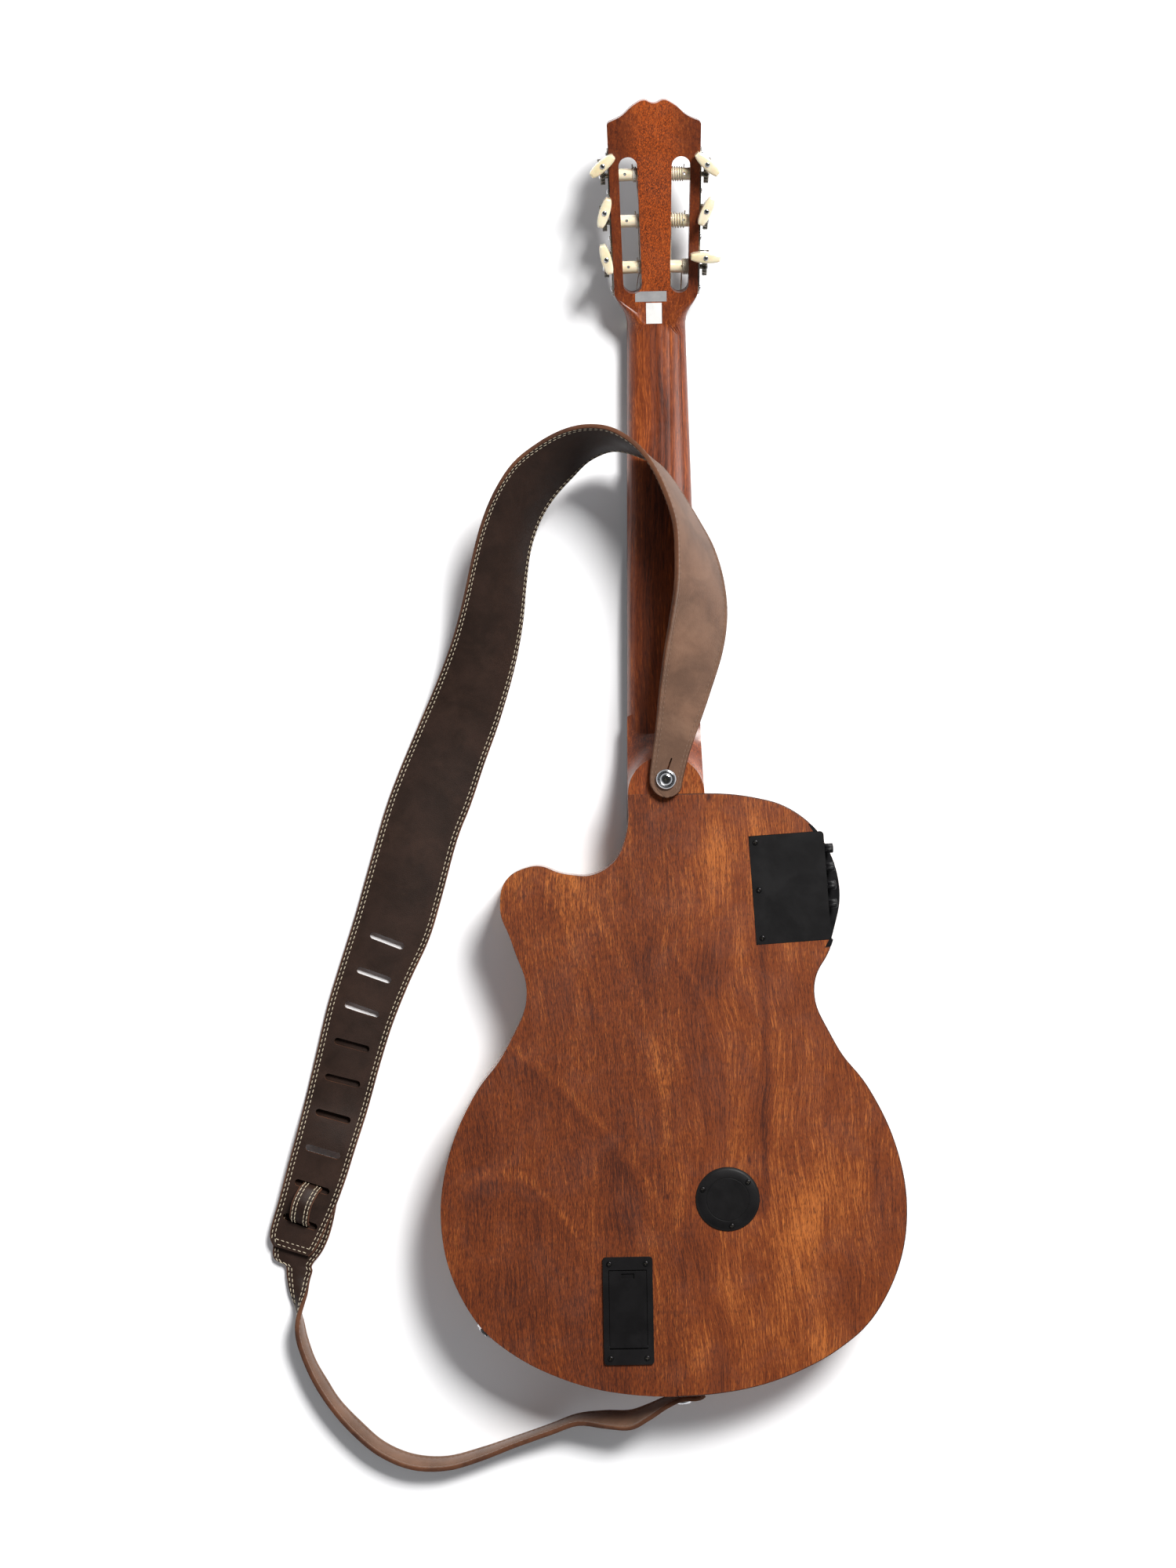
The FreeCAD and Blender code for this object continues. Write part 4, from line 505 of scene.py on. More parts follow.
@dataclass(frozen=True)
class WoodFinish(Finish):
    """A lacquered or bare wood whose grain runs along the guitar."""

    dark: Colour
    middle: Colour
    light: Colour
    pore: Colour
    ribbon: float = 0.5
    lines: float = 0.4
    cloud: float = 0.4
    slant: float = 0.0
    pores: float = 0.5
    roughness: float = 0.35
    coat: float = 0.5
    coat_roughness: float = 0.12
    bump: float = 0.08
    shine: float = 0.4
    tone_and_light_patches: tuple[Patch, ...] = ()

    def surface(self, tree: Tree, place: Wire) -> dict[str, object]:
        """Figured wood with open pores under a lacquer.

        Args:
            tree: The material's tree.
            place: The piece's own coordinate.

        Returns:
            The shader's sockets with their wires and values.
        """
        tone = tree.use(Effect.FIGURE, place, ribbon=self.ribbon, lines=self.lines, slant=self.slant,
                        cloud=self.cloud)["Tone"]
        # The patches add the wood's own lighter and darker places and, on the back, painted light and shade.
        for patch in self.tone_and_light_patches:
            mask = tree.use(Effect.PATCH, place, centre_x=patch.x * MM, centre_y=patch.y * MM,
                            half_x=patch.half_x * MM, half_y=patch.half_y * MM)["Mask"]
            tone = tone + mask * patch.strength
        tone = self.add_figure(tree, place, tone)
        lower = tree.mix(tone.spread(0.05, 0.5), self.dark, self.middle)
        colour = tree.mix(tone.spread(0.5, 0.98), lower, self.light)
        pores = tree.use(Effect.PORES, place, amount=self.pore_amount(place))["Mask"]
        colour = tree.mix(pores * 0.6, colour, self.pore)
        marks = tree.use(Effect.HANDLING, place, amount=0.10)["Mask"]
        return {"Base Color": self.last_colour(tree, place, colour), "Roughness": marks + self.roughness,
                "Coat Weight": self.coat, "Coat Roughness": self.coat_roughness,
                "Specular IOR Level": self.shine, "Normal": (tone - pores).bump(self.bump, 0.0004)}

    def add_figure(self, tree: Tree, place: Wire, tone: Wire) -> Wire:
        """Lets a special wood add figure of its own to the tone; a plain one has none."""
        return tone

    def pore_amount(self, place: Wire) -> Wire | float:
        """How many pores show, the same all over a plain wood."""
        return self.pores

    def last_colour(self, tree: Tree, place: Wire, colour: Wire) -> Wire:
        """Lets a special wood lay something over its colour; a plain one has nothing."""
        return colour


@dataclass(frozen=True)
class BackWood(WoodFinish):
    """The two halves of the back: flecked on the left, ribbon striped on the right."""

    growth: tuple[Growth, ...] = ()

    def add_figure(self, tree: Tree, place: Wire, tone: Wire) -> Wire:
        """Adds the growth lines, and broad ribbons on the right half.

        Args:
            tree: The material's tree.
            place: The coordinate.
            tone: The tone so far.

        Returns:
            The tone with the growth lines.
        """
        x, y, _ = place.parts()
        halves = (x.spread(-0.0008, 0.0008, 1.0, 0.0), x.spread(-0.0008, 0.0008))
        for line in self.growth:
            start, slope, curve = line.parabola()
            along, off = (y, x) if line.upright else (x, y)
            drawn = tree.use(Effect.GROWTH, place, along=along, off=off, start=start, slope=slope, curve=curve,
                             width=line.width * MM, low=line.low * MM, high=line.high * MM,
                             reach=line.reach * MM)
            change = drawn["Line"] * line.light + drawn["Side"] * line.shade
            tone = tone + change * halves[line.right]
        ribbons = place.stretch((44, 4.5, 44), turn=-4).noise(detail=3, warp=0.9)
        return tone + ribbons.swing(0.4) * halves[1]

    def pore_amount(self, place: Wire) -> Wire:
        """More pores left of the seam than right of it."""
        return place.parts()[0].spread(-0.01, 0.03, self.pores, self.pores * 0.75)

    def last_colour(self, tree: Tree, place: Wire, colour: Wire) -> Wire:
        """Draws the thin glue line of the middle seam, which hardly shows."""
        return tree.mix(abs(place.parts()[0]).spread(0.00005, 0.0004, 0.35, 0.0), colour, self.pore)


@dataclass(frozen=True)
class TopWood(WoodFinish):
    """The top, with a ring of inlay round the soundhole."""

    hole_y: float = -482.96
    inner: float = 47.0
    outer: float = 60.0
    tiles: float = 96.0
    tile_row: float = 3.2
    inlay: Colour = srgb(196, 166, 110)
    inlay_dark: Colour = srgb(52, 30, 20)

    def last_colour(self, tree: Tree, place: Wire, colour: Wire) -> Wire:
        """Lays the inlay's rings and its small tiles over the wood.

        Args:
            tree: The material's tree.
            place: The coordinate.
            colour: The wood's colour.

        Returns:
            The colour with the inlay.
        """
        x, y, _ = place.parts()
        down = y - self.hole_y * MM
        reach = tree.math("SQRT", x * x + down * down)
        tiles = tree.math("SINE", tree.math("ARCTAN2", down, x) * self.tiles)
        rows = tree.math("SINE", reach * (2 * math.pi / (self.tile_row * MM)))
        body = tree.mix((tiles * rows).spread(-0.1, 0.1), self.inlay_dark, self.inlay)
        inside = reach.spread((self.inner - 0.1) * MM, self.inner * MM)
        outside = reach.spread(self.outer * MM, (self.outer + 0.1) * MM, 1.0, 0.0)
        return tree.mix(inside * outside, colour, body)


@dataclass(frozen=True)
class NeckWood(WoodFinish):
    """The neck's wood, which turns speckled and darker on the headstock."""

    head_start: float = 4.0
    head_full: float = 34.0
    speck: Colour = srgb(186, 84, 26)

    def last_colour(self, tree: Tree, place: Wire, colour: Wire) -> Wire:
        """Speckles the headstock between its slots and darkens its flanks.

        Args:
            tree: The material's tree.
            place: The coordinate.
            colour: The colour so far.

        Returns:
            The finished colour.
        """
        x, y, _ = place.parts()
        head = y.spread(self.head_start * MM, self.head_full * MM)
        dots = place.stretch((1900, 620, 1900)).noise(detail=2, rough=0.55, warp=0.7)
        middle = abs(x).spread(0.008, 0.026, 1.0, 0.25)
        spotted = tree.mix(dots.spread(0.46, 0.64) * head * middle * 0.9, colour, self.speck)
        return tree.mix((1.0 - middle) * head * 0.55, spotted, self.dark)


@dataclass(frozen=True)
class PlasticFinish(Finish):
    """A moulded plastic with fine pebbles or a polish."""

    colour: Colour
    variation: Colour
    roughness: float = 0.5
    grain: float = 1800.0
    bump: float = 0.25
    coat: float = 0.0
    subsurface: float = 0.0
    shine: float = 0.5

    def surface(self, tree: Tree, place: Wire) -> dict[str, object]:
        """Plastic with the texture of its mould and handling marks.

        Args:
            tree: The material's tree.
            place: The piece's own coordinate.

        Returns:
            The shader's sockets with their wires and values.
        """
        mould = tree.use(Effect.MOULD, place, scale=self.grain)
        marks = tree.use(Effect.HANDLING, place, amount=0.14)["Mask"]
        return {"Base Color": tree.mix(mould["Tone"].spread(0.3, 0.7), self.colour, self.variation),
                "Roughness": marks + self.roughness, "Coat Weight": self.coat,
                "Subsurface Weight": self.subsurface, "Subsurface Scale": 0.001,
                "Specular IOR Level": self.shine, "Normal": mould["Height"].bump(self.bump, 0.0001)}


@dataclass(frozen=True)
class MetalFinish(Finish):
    """A plated or brushed metal with fine lines and dull spots."""

    colour: Colour
    dull: Colour
    roughness: float = 0.16
    bump: float = 0.05
    fine: float = 1.0

    def surface(self, tree: Tree, place: Wire) -> dict[str, object]:
        """Metal with brushed lines and handling marks.

        Args:
            tree: The material's tree.
            place: The piece's own coordinate.

        Returns:
            The shader's sockets with their wires and values.
        """
        lines = tree.use(Effect.BRUSHED, place, fine=self.fine)
        marks = tree.use(Effect.HANDLING, place, amount=0.25)["Mask"]
        return {"Base Color": tree.mix(lines["Tone"].spread(0.35, 0.75), self.colour, self.dull),
                "Roughness": marks + self.roughness, "Metallic": 1.0,
                "Normal": lines["Height"].bump(self.bump, 0.00005)}


@dataclass(frozen=True)
class LeatherFinish(Finish):
    """One side of the strap's leather."""

    colour: Colour
    shade: Colour
    worn: Colour
    roughness: float = 0.5
    scale: float = 700.0
    nap: float = 0.2
    bump: float = 0.4
    sheen: float = 0.0
    cells: float = 1.0
    shine: float = 0.2

    def surface(self, tree: Tree, place: Wire) -> dict[str, object]:
        """Leather that is worn in places, with painted shade darkening its creases.

        Args:
            tree: The material's tree.
            place: The piece's own coordinate.

        Returns:
            The shader's sockets with their wires and values.
        """
        hide = tree.use(Effect.HIDE, place, scale=self.scale, nap=self.nap, cells=self.cells)
        marks = tree.use(Effect.HANDLING, place, amount=0.5)["Mask"]
        tone = hide["Tone"].spread(0.3, 0.7)
        colour = tree.mix(marks * 0.6, tree.mix(tone, self.shade, self.colour), self.worn)
        # Painted shade: the creases between the cells are mixed towards the shade colour.
        return {"Base Color": tree.mix(hide["Height"].spread(0.0, 0.7, 0.5, 0.0), colour, self.shade),
                "Roughness": tone * 0.12 + self.roughness, "Sheen Weight": self.sheen,
                "Specular IOR Level": self.shine, "Normal": hide["Height"].bump(self.bump, 0.0003)}


@dataclass(frozen=True)
class ThreadFinish(Finish):
    """Twisted thread or the winding of a string."""

    colour: Colour
    shade: Colour
    metallic: float = 0.0
    roughness: float = 0.6
    turns: float = 900.0

    def surface(self, tree: Tree, place: Wire) -> dict[str, object]:
        """Thread or wire whose turns run slantwise, with painted shade in the grooves between them.

        Args:
            tree: The material's tree.
            place: The piece's own coordinate.

        Returns:
            The shader's sockets with their wires and values.
        """
        wave = tree.wire("ShaderNodeTexWave", {"Vector": place, "Scale": self.turns, "Distortion": 1.0}, "Fac",
                         bands_direction="DIAGONAL")
        # Painted shade: the grooves between the turns take the shade colour.
        return {"Base Color": tree.mix(wave.spread(0.1, 0.7), self.shade, self.colour),
                "Roughness": place.noise(140.0, 3) * 0.15 + self.roughness, "Metallic": self.metallic,
                "Normal": wave.bump(0.35, 0.0001)}

@dataclass(frozen=True)
class PaperFinish(Finish):
    """The studio's pale floor, with slow changes of tone and gloss."""

    light: Colour = srgb(250, 250, 252)
    dark: Colour = srgb(244, 245, 248)

    def surface(self, tree: Tree, place: Wire) -> dict[str, object]:
        """Matt paper.

        Args:
            tree: The material's tree.
            place: The piece's own coordinate.

        Returns:
            The shader's sockets with their wires and values.
        """
        soft = place.noise(3.0, 3)
        colour = tree.mix(soft, self.light, self.dark)
        return {"Base Color": colour, "Roughness": soft.spread(0.2, 0.8, 0.7, 0.8)}


FLOOR = PaperFinish("floor_paper")


BACK = BackWood(
    "back_wood", srgb(66, 25, 9), srgb(114, 52, 18), srgb(174, 98, 42), srgb(44, 16, 6),
    ribbon=0.22, lines=0.46, cloud=0.32, slant=0.05, pores=1.25, roughness=0.42, coat=0.12,
    coat_roughness=0.2, tone_and_light_patches=(
        Patch(28, -433, 30, 50, 0.22), Patch(31, -500, 26, 30, -0.14), Patch(100, -520, 26, 46, -0.2),
        Patch(8, -715, 26, 48, -0.18), Patch(18, -785, 18, 34, 0.22), Patch(136, -745, 50, 50, -0.2),
        # Painted light: the broad patch at (-50, -440) lightens the upper left of the back.
        Patch(126, -664, 34, 34, 0.08), Patch(-120, -412, 60, 44, 0.26), Patch(-50, -440, 70, 80, 0.24),
        Patch(-36, -686, 26, 24, -0.16), Patch(-30, -560, 34, 80, 0.1), Patch(60, -400, 50, 34, 0.14),
        Patch(-110, -745, 70, 60, -0.14), Patch(-160, -650, 50, 120, -0.12), Patch(160, -640, 50, 100, -0.14),
        # Painted shade: the wide band at (0, -800) darkens the bottom of the back.
        Patch(0, -800, 150, 36, -0.1), Patch(60, -620, 60, 90, -0.08), Patch(32, -366, 3, 4, -0.5),
        Patch(-5, -668, 3, 4, -0.5), Patch(58, -641, 3, 5, -0.4)),
    growth=(
        Growth(((-116, -555), (-75, -591), (-12, -675)), -690, -535, 0.17, -0.14, 9.5, 60),
        Growth(((-66, -437), (-38, -485), (-5, -616)), -640, -410, 0.15, 0.03, 7.5, 20),
        Growth(((-88, -437), (-62, -500), (-30, -640)), -660, -420, 0.10, -0.05, 6.0, 24),
        Growth(((-166, -667), (-124, -650), (-74, -698)), -172, -66, 0.17, -0.16, 8.0, 60, upright=False),
        Growth(((-2, -471), (30, -528), (42, -641)), -660, -455, 0.16, -0.10, 5.0, 26, right=True),
        Growth(((72, -470), (72.3, -564), (69, -653)), -690, -455, -0.26, -0.08, 6.0, 16, right=True)))
SIDE = WoodFinish("side_wood", srgb(84, 36, 17), srgb(124, 62, 31), srgb(158, 90, 50), srgb(54, 22, 12),
                  pores=0.5, roughness=0.34)
CAP = WoodFinish("heel_cap_wood", srgb(92, 38, 15), srgb(132, 62, 25), srgb(172, 98, 46), srgb(60, 24, 11),
                 ribbon=0.3, lines=0.5, pores=1.2, roughness=0.35)
LINE = WoodFinish("light_line", srgb(170, 120, 76), srgb(196, 150, 104), srgb(214, 176, 132),
                  srgb(150, 100, 60), pores=0.1, roughness=0.35)
# Painted shade: a dark wood for the back's rounded edges, where they turn away from the light.
EDGE = WoodFinish("body_edge_shade", srgb(38, 17, 10), srgb(58, 26, 14), srgb(88, 44, 24), srgb(24, 10, 6),
                  ribbon=0.2, pores=0.2, roughness=0.42, coat=0.1, shine=0.25)
TOP = TopWood("top_wood", srgb(170, 110, 58), srgb(202, 142, 82), srgb(224, 172, 110), srgb(150, 96, 52),
              ribbon=0.2, lines=0.75, cloud=0.25, pores=0.05, roughness=0.25, coat=0.7)
BRACE = WoodFinish("brace_wood", srgb(178, 142, 96), srgb(208, 174, 124), srgb(226, 198, 152),
                   srgb(160, 124, 84), lines=0.6, pores=0.05, roughness=0.7, coat=0.0)
NECK = NeckWood("neck_wood", srgb(64, 25, 11), srgb(112, 50, 21), srgb(170, 88, 38), srgb(38, 15, 8),
                ribbon=0.4, lines=0.5, cloud=0.3, pores=0.45, roughness=0.36, coat=0.35,
                coat_roughness=0.3, bump=0.05, shine=0.35)
BOARD = WoodFinish("board_wood", srgb(26, 15, 11), srgb(46, 27, 19), srgb(72, 44, 30), srgb(14, 8, 6),
                   lines=0.7, pores=0.7, roughness=0.48, coat=0.1)
BLACK = PlasticFinish("black_plastic", srgb(11, 10, 11), srgb(18, 17, 18), 0.44, bump=0.16, shine=0.2)
BLACK_SMOOTH = PlasticFinish("black_smooth", srgb(9, 8, 10), srgb(16, 15, 17), 0.34, grain=3000, bump=0.06,
                             shine=0.25)
IVORY = PlasticFinish("ivory_plastic", srgb(236, 226, 200), srgb(222, 206, 168), 0.22, grain=500, bump=0.03,
                      coat=0.5, subsurface=0.2)
# Painted shade: a darker ivory for the walls of the rollers' string holes.
IVORY_HOLE_SHADE = PlasticFinish("ivory_hole_shade", srgb(120, 104, 72), srgb(84, 70, 48), 0.5, grain=500, bump=0.05)
BONE = PlasticFinish("bone", srgb(236, 230, 210), srgb(216, 204, 172), 0.35, grain=900, bump=0.08)
CASE = PlasticFinish("battery_case", srgb(24, 24, 26), srgb(58, 58, 60), 0.4, bump=0.1)
BOARD_GREEN = PlasticFinish("circuit", srgb(16, 74, 44), srgb(30, 96, 60), 0.3, grain=900)
PAPER_WHITE = PlasticFinish("paper_white", srgb(232, 232, 230), srgb(214, 214, 212), 0.6, grain=2600, bump=0.1)
PAPER_GREY = PlasticFinish("paper_grey", srgb(158, 158, 158), srgb(138, 138, 140), 0.42, grain=2600, bump=0.1)
CHROME = MetalFinish("chrome_trim", srgb(226, 227, 230), srgb(190, 192, 196), 0.12)
PLATE = MetalFinish("plate_metal", srgb(176, 172, 164), srgb(126, 120, 110), 0.26, bump=0.2)
GEAR = MetalFinish("gear_metal", srgb(150, 146, 138), srgb(96, 92, 86), 0.3, bump=0.2, fine=2.0)
FRET = MetalFinish("fret_metal", srgb(206, 206, 202), srgb(172, 172, 168), 0.2)
ROD = MetalFinish("rod_metal", srgb(140, 140, 142), srgb(96, 96, 98), 0.4)
PIEZO = MetalFinish("piezo", srgb(186, 186, 188), srgb(150, 150, 152), 0.35)
GRAIN_SIDE = LeatherFinish("leather_brown", srgb(46, 30, 23), srgb(33, 21, 15), srgb(66, 46, 36), 0.5,
                           scale=900, nap=0.15, bump=0.2)
FLESH_SIDE = LeatherFinish("leather_flesh", srgb(114, 85, 68), srgb(90, 66, 52), srgb(134, 104, 85), 0.85,
                           scale=420, nap=1.1, bump=0.9, sheen=0.2, cells=0.0)
CUT_SIDE = LeatherFinish("leather_cut", srgb(98, 62, 43), srgb(68, 42, 30), srgb(132, 88, 62), 0.75,
                         scale=1400, nap=0.9, bump=0.5)
CREAM = ThreadFinish("cream_thread", srgb(208, 196, 172), srgb(158, 144, 120))
TAN = ThreadFinish("tan_thread", srgb(116, 88, 70), srgb(84, 62, 48))
NYLON = ThreadFinish("nylon_clear", srgb(224, 222, 214), srgb(206, 202, 190), roughness=0.18, turns=60)
WOUND = ThreadFinish("wound_metal", srgb(216, 208, 188), srgb(150, 142, 124), metallic=0.35, roughness=0.4,
                     turns=1500)
SCREW_BLACK = MetalFinish("screw_black", srgb(46, 45, 46), srgb(30, 29, 30), 0.32)
RUBBER = PlasticFinish("lead_cover", srgb(20, 20, 21), srgb(32, 32, 34), 0.55, grain=2500, bump=0.1)


class Palette:
    """Hands out each finish's material, built once."""

    _made: dict[str, bpy.types.Material] = {}

    @classmethod
    def get(cls, finish: Finish) -> bpy.types.Material:
        """Returns the finish's material, and builds it at its first use.

        Args:
            finish: The finish.

        Returns:
            Its material.
        """
        if finish.name not in cls._made:
            cls._made[finish.name] = finish.material()
        return cls._made[finish.name]


X, Y, Z = Vector((1, 0, 0)), Vector((0, 1, 0)), Vector((0, 0, 1))


@dataclass(frozen=True)
class Frame:
    """A place with its own axes."""

    origin: Vector
    right: Vector = X
    forward: Vector = Y
    up: Vector = Z

    def at(self, x: float, y: float, z: float) -> Vector:
        """The point with these coordinates in the frame."""
        return self.origin + self.right * x + self.forward * y + self.up * z

    def round(self, reach: float, turn: float, z: float) -> Vector:
        """The point at a distance from the up axis, a turn in radians and a height."""
        return self.at(reach * math.cos(turn), reach * math.sin(turn), z)

    @classmethod
    def along_axis(cls, origin: Vector, axis: Vector) -> Frame:
        """A frame whose up is an axis and whose other axes are any two across it.

        Args:
            origin: Where it stands.
            axis: The axis, of any length.

        Returns:
            The frame.
        """
        up = axis.normalized()
        right = (X if abs(up.x) < 0.9 else Y).cross(up).normalized()
        return cls(origin, right, up.cross(right), up)


def circle(sides: int) -> list[float]:
    """Even turns round a circle, in radians."""
    return [2 * math.pi * side / sides for side in range(sides)]


def rings_to_faces(count: int, size: int, closed: bool = True) -> list[list[int]]:
    """Joins rings of points to faces.

    Args:
        count: How many rings there are.
        size: How many points each ring has.
        closed: Whether each ring closes, and the first and last one are filled.

    Returns:
        The faces.
    """
    faces = []
    for ring, place in itertools.product(range(count - 1), range(size if closed else size - 1)):
        here, after = ring * size + place, ring * size + (place + 1) % size
        faces.append([here, after, after + size, here + size])
    if closed:
        faces.append(list(range(size))[::-1])
        faces.append([(count - 1) * size + place for place in range(size)])
    return faces


def lathe(frame: Frame, profile: Sequence[Flat], sides: int = 48) -> Shape:
    """Turns a profile of radius and height pairs, from bottom to top, round the frame's up axis."""
    points = [frame.round(reach, turn, z) for reach, z in profile for turn in circle(sides)]
    return points, rings_to_faces(len(profile), sides)


def prism(frame: Frame, corners: Sequence[Flat], low: float, high: float) -> Shape:
    """Raises corners along the frame's up axis from one height to another."""
    return [frame.at(x, y, z) for z in (low, high) for x, y in corners], rings_to_faces(2, len(corners))


def oblong(half_x: float, half_y: float, y: float = 0.0) -> list[Flat]:
    """The corners of an oblong whose middle is y off the origin."""
    return [(-half_x, y - half_y), (half_x, y - half_y), (half_x, y + half_y), (-half_x, y + half_y)]


def joined(shapes: Iterable[Shape]) -> Shape:
    """Puts the points and faces of several shapes together.

    Args:
        shapes: The shapes.

    Returns:
        All of them as one shape.
    """
    points: list[Vector] = []
    faces: list[list[int]] = []
    for more_points, more_faces in shapes:
        start = len(points)
        points += more_points
        faces += [[number + start for number in face] for face in more_faces]
    return points, faces


def add_object(name: str, data: bpy.types.ID) -> bpy.types.Object:
    """Puts a mesh, a line, a light or a camera into the scene.

    Args:
        name: The object's name.
        data: What it shows.

    Returns:
        The object.
    """
    made = bpy.data.objects.new(name, data)
    bpy.context.scene.collection.objects.link(made)
    return made


def solid_mesh(name: str, shape: Shape, materials: Iterable[bpy.types.Material], kinds: Sequence[int] | None
               ) -> bpy.types.Mesh:
    """Makes a mesh with its faces outward, also where its frame was a mirrored one.

    Args:
        name: The mesh's name.
        shape: Its points in millimetres and its faces.
        materials: Its materials.
        kinds: The material's number for each face, if there are several.

    Returns:
        The mesh.
    """
    mesh = bpy.data.meshes.new(name)
    mesh.from_pydata([[c * MM for c in point] for point in shape[0]], [], shape[1])
    for material in materials:
        mesh.materials.append(material)
    if kinds is not None:
        mesh.polygons.foreach_set("material_index", kinds)
    volume = 0.0
    for face in mesh.polygons:
        corners = [mesh.vertices[number].co for number in face.vertices]
        for second, third in zip(corners[1:], corners[2:]):
            volume += corners[0].dot(second.cross(third))
    if volume < 0:
        mesh.flip_normals()
    return mesh


def make_piece(name: str, shape: Shape, body: str, finishes: Sequence[Finish],
               kinds: Sequence[int] | None = None, smooth: bool = True, crease: float = 35.0
               ) -> bpy.types.Object:
    """Makes a piece and lets it ride on a body.

    Args:
        name: The piece's name.
        shape: Its points in millimetres and its faces.
        body: The CAD body that carries it.
        finishes: Its finishes.
        kinds: The finish's number for each face.
        smooth: Whether its faces shade smoothly.
        crease: The angle from which an edge stays sharp, in degrees.

    Returns:
        The piece.
    """
    mesh = solid_mesh(name, shape, [Palette.get(finish) for finish in finishes], kinds)
    mesh.polygons.foreach_set("use_smooth", [smooth] * len(mesh.polygons))
    if smooth:
        mesh.set_sharp_from_angle(angle=math.radians(crease))
    mesh.update()
    piece = add_object(name, mesh)
    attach(piece, body)
    log.info("%s: %d faces", name, len(mesh.polygons))
    return piece


def cut_out(piece: bpy.types.Object, shapes: Iterable[Shape], finish: int) -> None:
    """Cuts closed shapes out of a piece.

    Args:
        piece: The piece.
        shapes: The shapes to cut away, in millimetres.
        finish: Which of the piece's finishes the cut faces get.
    """
    shape = joined(shapes)
    mesh = solid_mesh("cutter", shape, piece.data.materials, [finish] * len(shape[1]))
    cutter = add_object("cutter", mesh)
    cut = piece.modifiers.new("cut", "BOOLEAN")
    cut.operation, cut.solver, cut.object = "DIFFERENCE", "EXACT", cutter
    bpy.context.view_layer.update()
    graph = bpy.context.evaluated_depsgraph_get()
    piece_mesh = bpy.data.meshes.new_from_object(piece.evaluated_get(graph))
    piece.modifiers.clear()
    piece.data = piece_mesh
    piece_mesh.set_sharp_from_angle(angle=math.radians(40))
    bpy.data.objects.remove(cutter)


def cut_cross(piece: bpy.types.Object, frames: Sequence[Frame], top: float, depth: float, reach: float,
              half: float) -> None:
    """Cuts a driver's cross into the top of each head.

    Args:
        piece: The piece with the heads.
        frames: The heads' frames, whose up is the screw's axis.
        top: Height of the heads' tops.
        depth: How deep the cross goes.
        reach: Half its length.
        half: Half its width.
    """
    for across, along in ((reach, half), (half, reach)):
        cut_out(piece, [prism(frame, oblong(across, along), top - depth, top + 1.0) for frame in frames], 1)


def round_line(name: str, points: Sequence[Sequence[float]], width: float, finish: Finish,
               bent: bool = False) -> bpy.types.Object:
    """Makes a round line that rides on the guitar.

    Args:
        name: The piece's name.
        points: Its points in millimetres.
        width: How thick it is.
        finish: Its finish.
        bent: Whether it bends smoothly between its points and doesn't pass through them.

    Returns:
        The line.
    """
    line = bpy.data.curves.new(name, "CURVE")
    line.dimensions, line.bevel_depth, line.bevel_resolution = "3D", width / 2 * MM, 4 if bent else 3
    line.use_fill_caps, line.resolution_u = True, 16 if bent else 4
    spline = line.splines.new("NURBS" if bent else "POLY")
    spline.points.add(len(points) - 1)
    for spot, point in zip(spline.points, points):
        spot.co = (*(c * MM for c in point), 1.0)
    spline.use_smooth = True
    if bent:
        spline.order_u, spline.use_endpoint_u = 3, True
    line.materials.append(Palette.get(finish))
    made = add_object(name, line)
    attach(made, "guitar")
    return made


@dataclass(frozen=True)
class Light:
    """A soft square light. Lengths in metres, power in watts."""

    name: str
    place: Point
    size: float
    power: float
    colour: Point


@dataclass
class Studio:
    """The camera over the guitar, the pale floor and the soft lights."""

    height: float = 2600.0
    centre: Point = (-59.0, -354.3, 0.0)
    turn: float = -1.063
    lens: float = 77.1
    sensor: float = 36.0
    floor_half: float = 4.5
    floor_z: float = -0.0003
    lights: tuple[Light, ...] = (Light("key_light", (2.2, 2.9, 4.6), 1.9, 570.0, (1.0, 0.99, 0.97)),
                                 Light("fill_light", (-2.4, -2.4, 1.7), 2.0, 5.0, (0.97, 0.98, 1.0)))
    wall_light: float = 0.66
    ceiling_light: float = 0.03

    def build(self) -> None:
        """Makes the camera, the floor, the lights and the room."""
        camera = bpy.data.cameras.new("camera")
        camera.lens, camera.sensor_width, camera.sensor_fit = self.lens, self.sensor, "AUTO"
        camera.clip_end = 100.0
        holder = add_object("camera", camera)
        holder.location = (self.centre[0] * MM, self.centre[1] * MM, self.height * MM)
        holder.rotation_euler = (0, 0, math.radians(self.turn))
        bpy.context.scene.camera = holder
        self.build_floor()
        for light in self.lights:
            self.add_light(light)
        self.build_room()
        bpy.context.scene.view_settings.view_transform = "Standard"
        log.info("studio ready")

    def build_room(self) -> None:
        """Makes pale walls all round and a darker ceiling, so that flat tops don't mirror white."""
        world = bpy.data.worlds.new("room")
        world.use_nodes = True
        tree = Tree(world.node_tree)
        up = tree.wire("ShaderNodeTexCoord", {}, "Generated").parts()[2]
        light = up.spread(0.4, 0.88, self.wall_light, self.ceiling_light)
        tree.fill(world.node_tree.nodes["Background"], {0: (0.98, 0.985, 1.0, 1.0), 1: light})
        bpy.context.scene.world = world

    def build_floor(self) -> None:
        """Makes the floor, a little under the guitar's lowest points."""
        mesh = bpy.data.meshes.new("floor")
        corners = oblong(self.floor_half, self.floor_half)
        mesh.from_pydata([(x, y, self.floor_z) for x, y in corners], [], [(0, 1, 2, 3)])
        mesh.materials.append(Palette.get(FLOOR))
        add_object("floor", mesh)

    def add_light(self, light: Light) -> None:
        """Hangs a light and aims it at the middle of the guitar.

        Args:
            light: The light.
        """
        lamp = bpy.data.lights.new(light.name, "AREA")
        lamp.size, lamp.energy, lamp.color = light.size, light.power, light.colour
        holder = add_object(light.name, lamp)
        holder.location = light.place
        aim = Vector(self.centre) * MM - holder.location
        holder.rotation_euler = aim.to_track_quat("-Z", "Y").to_euler()


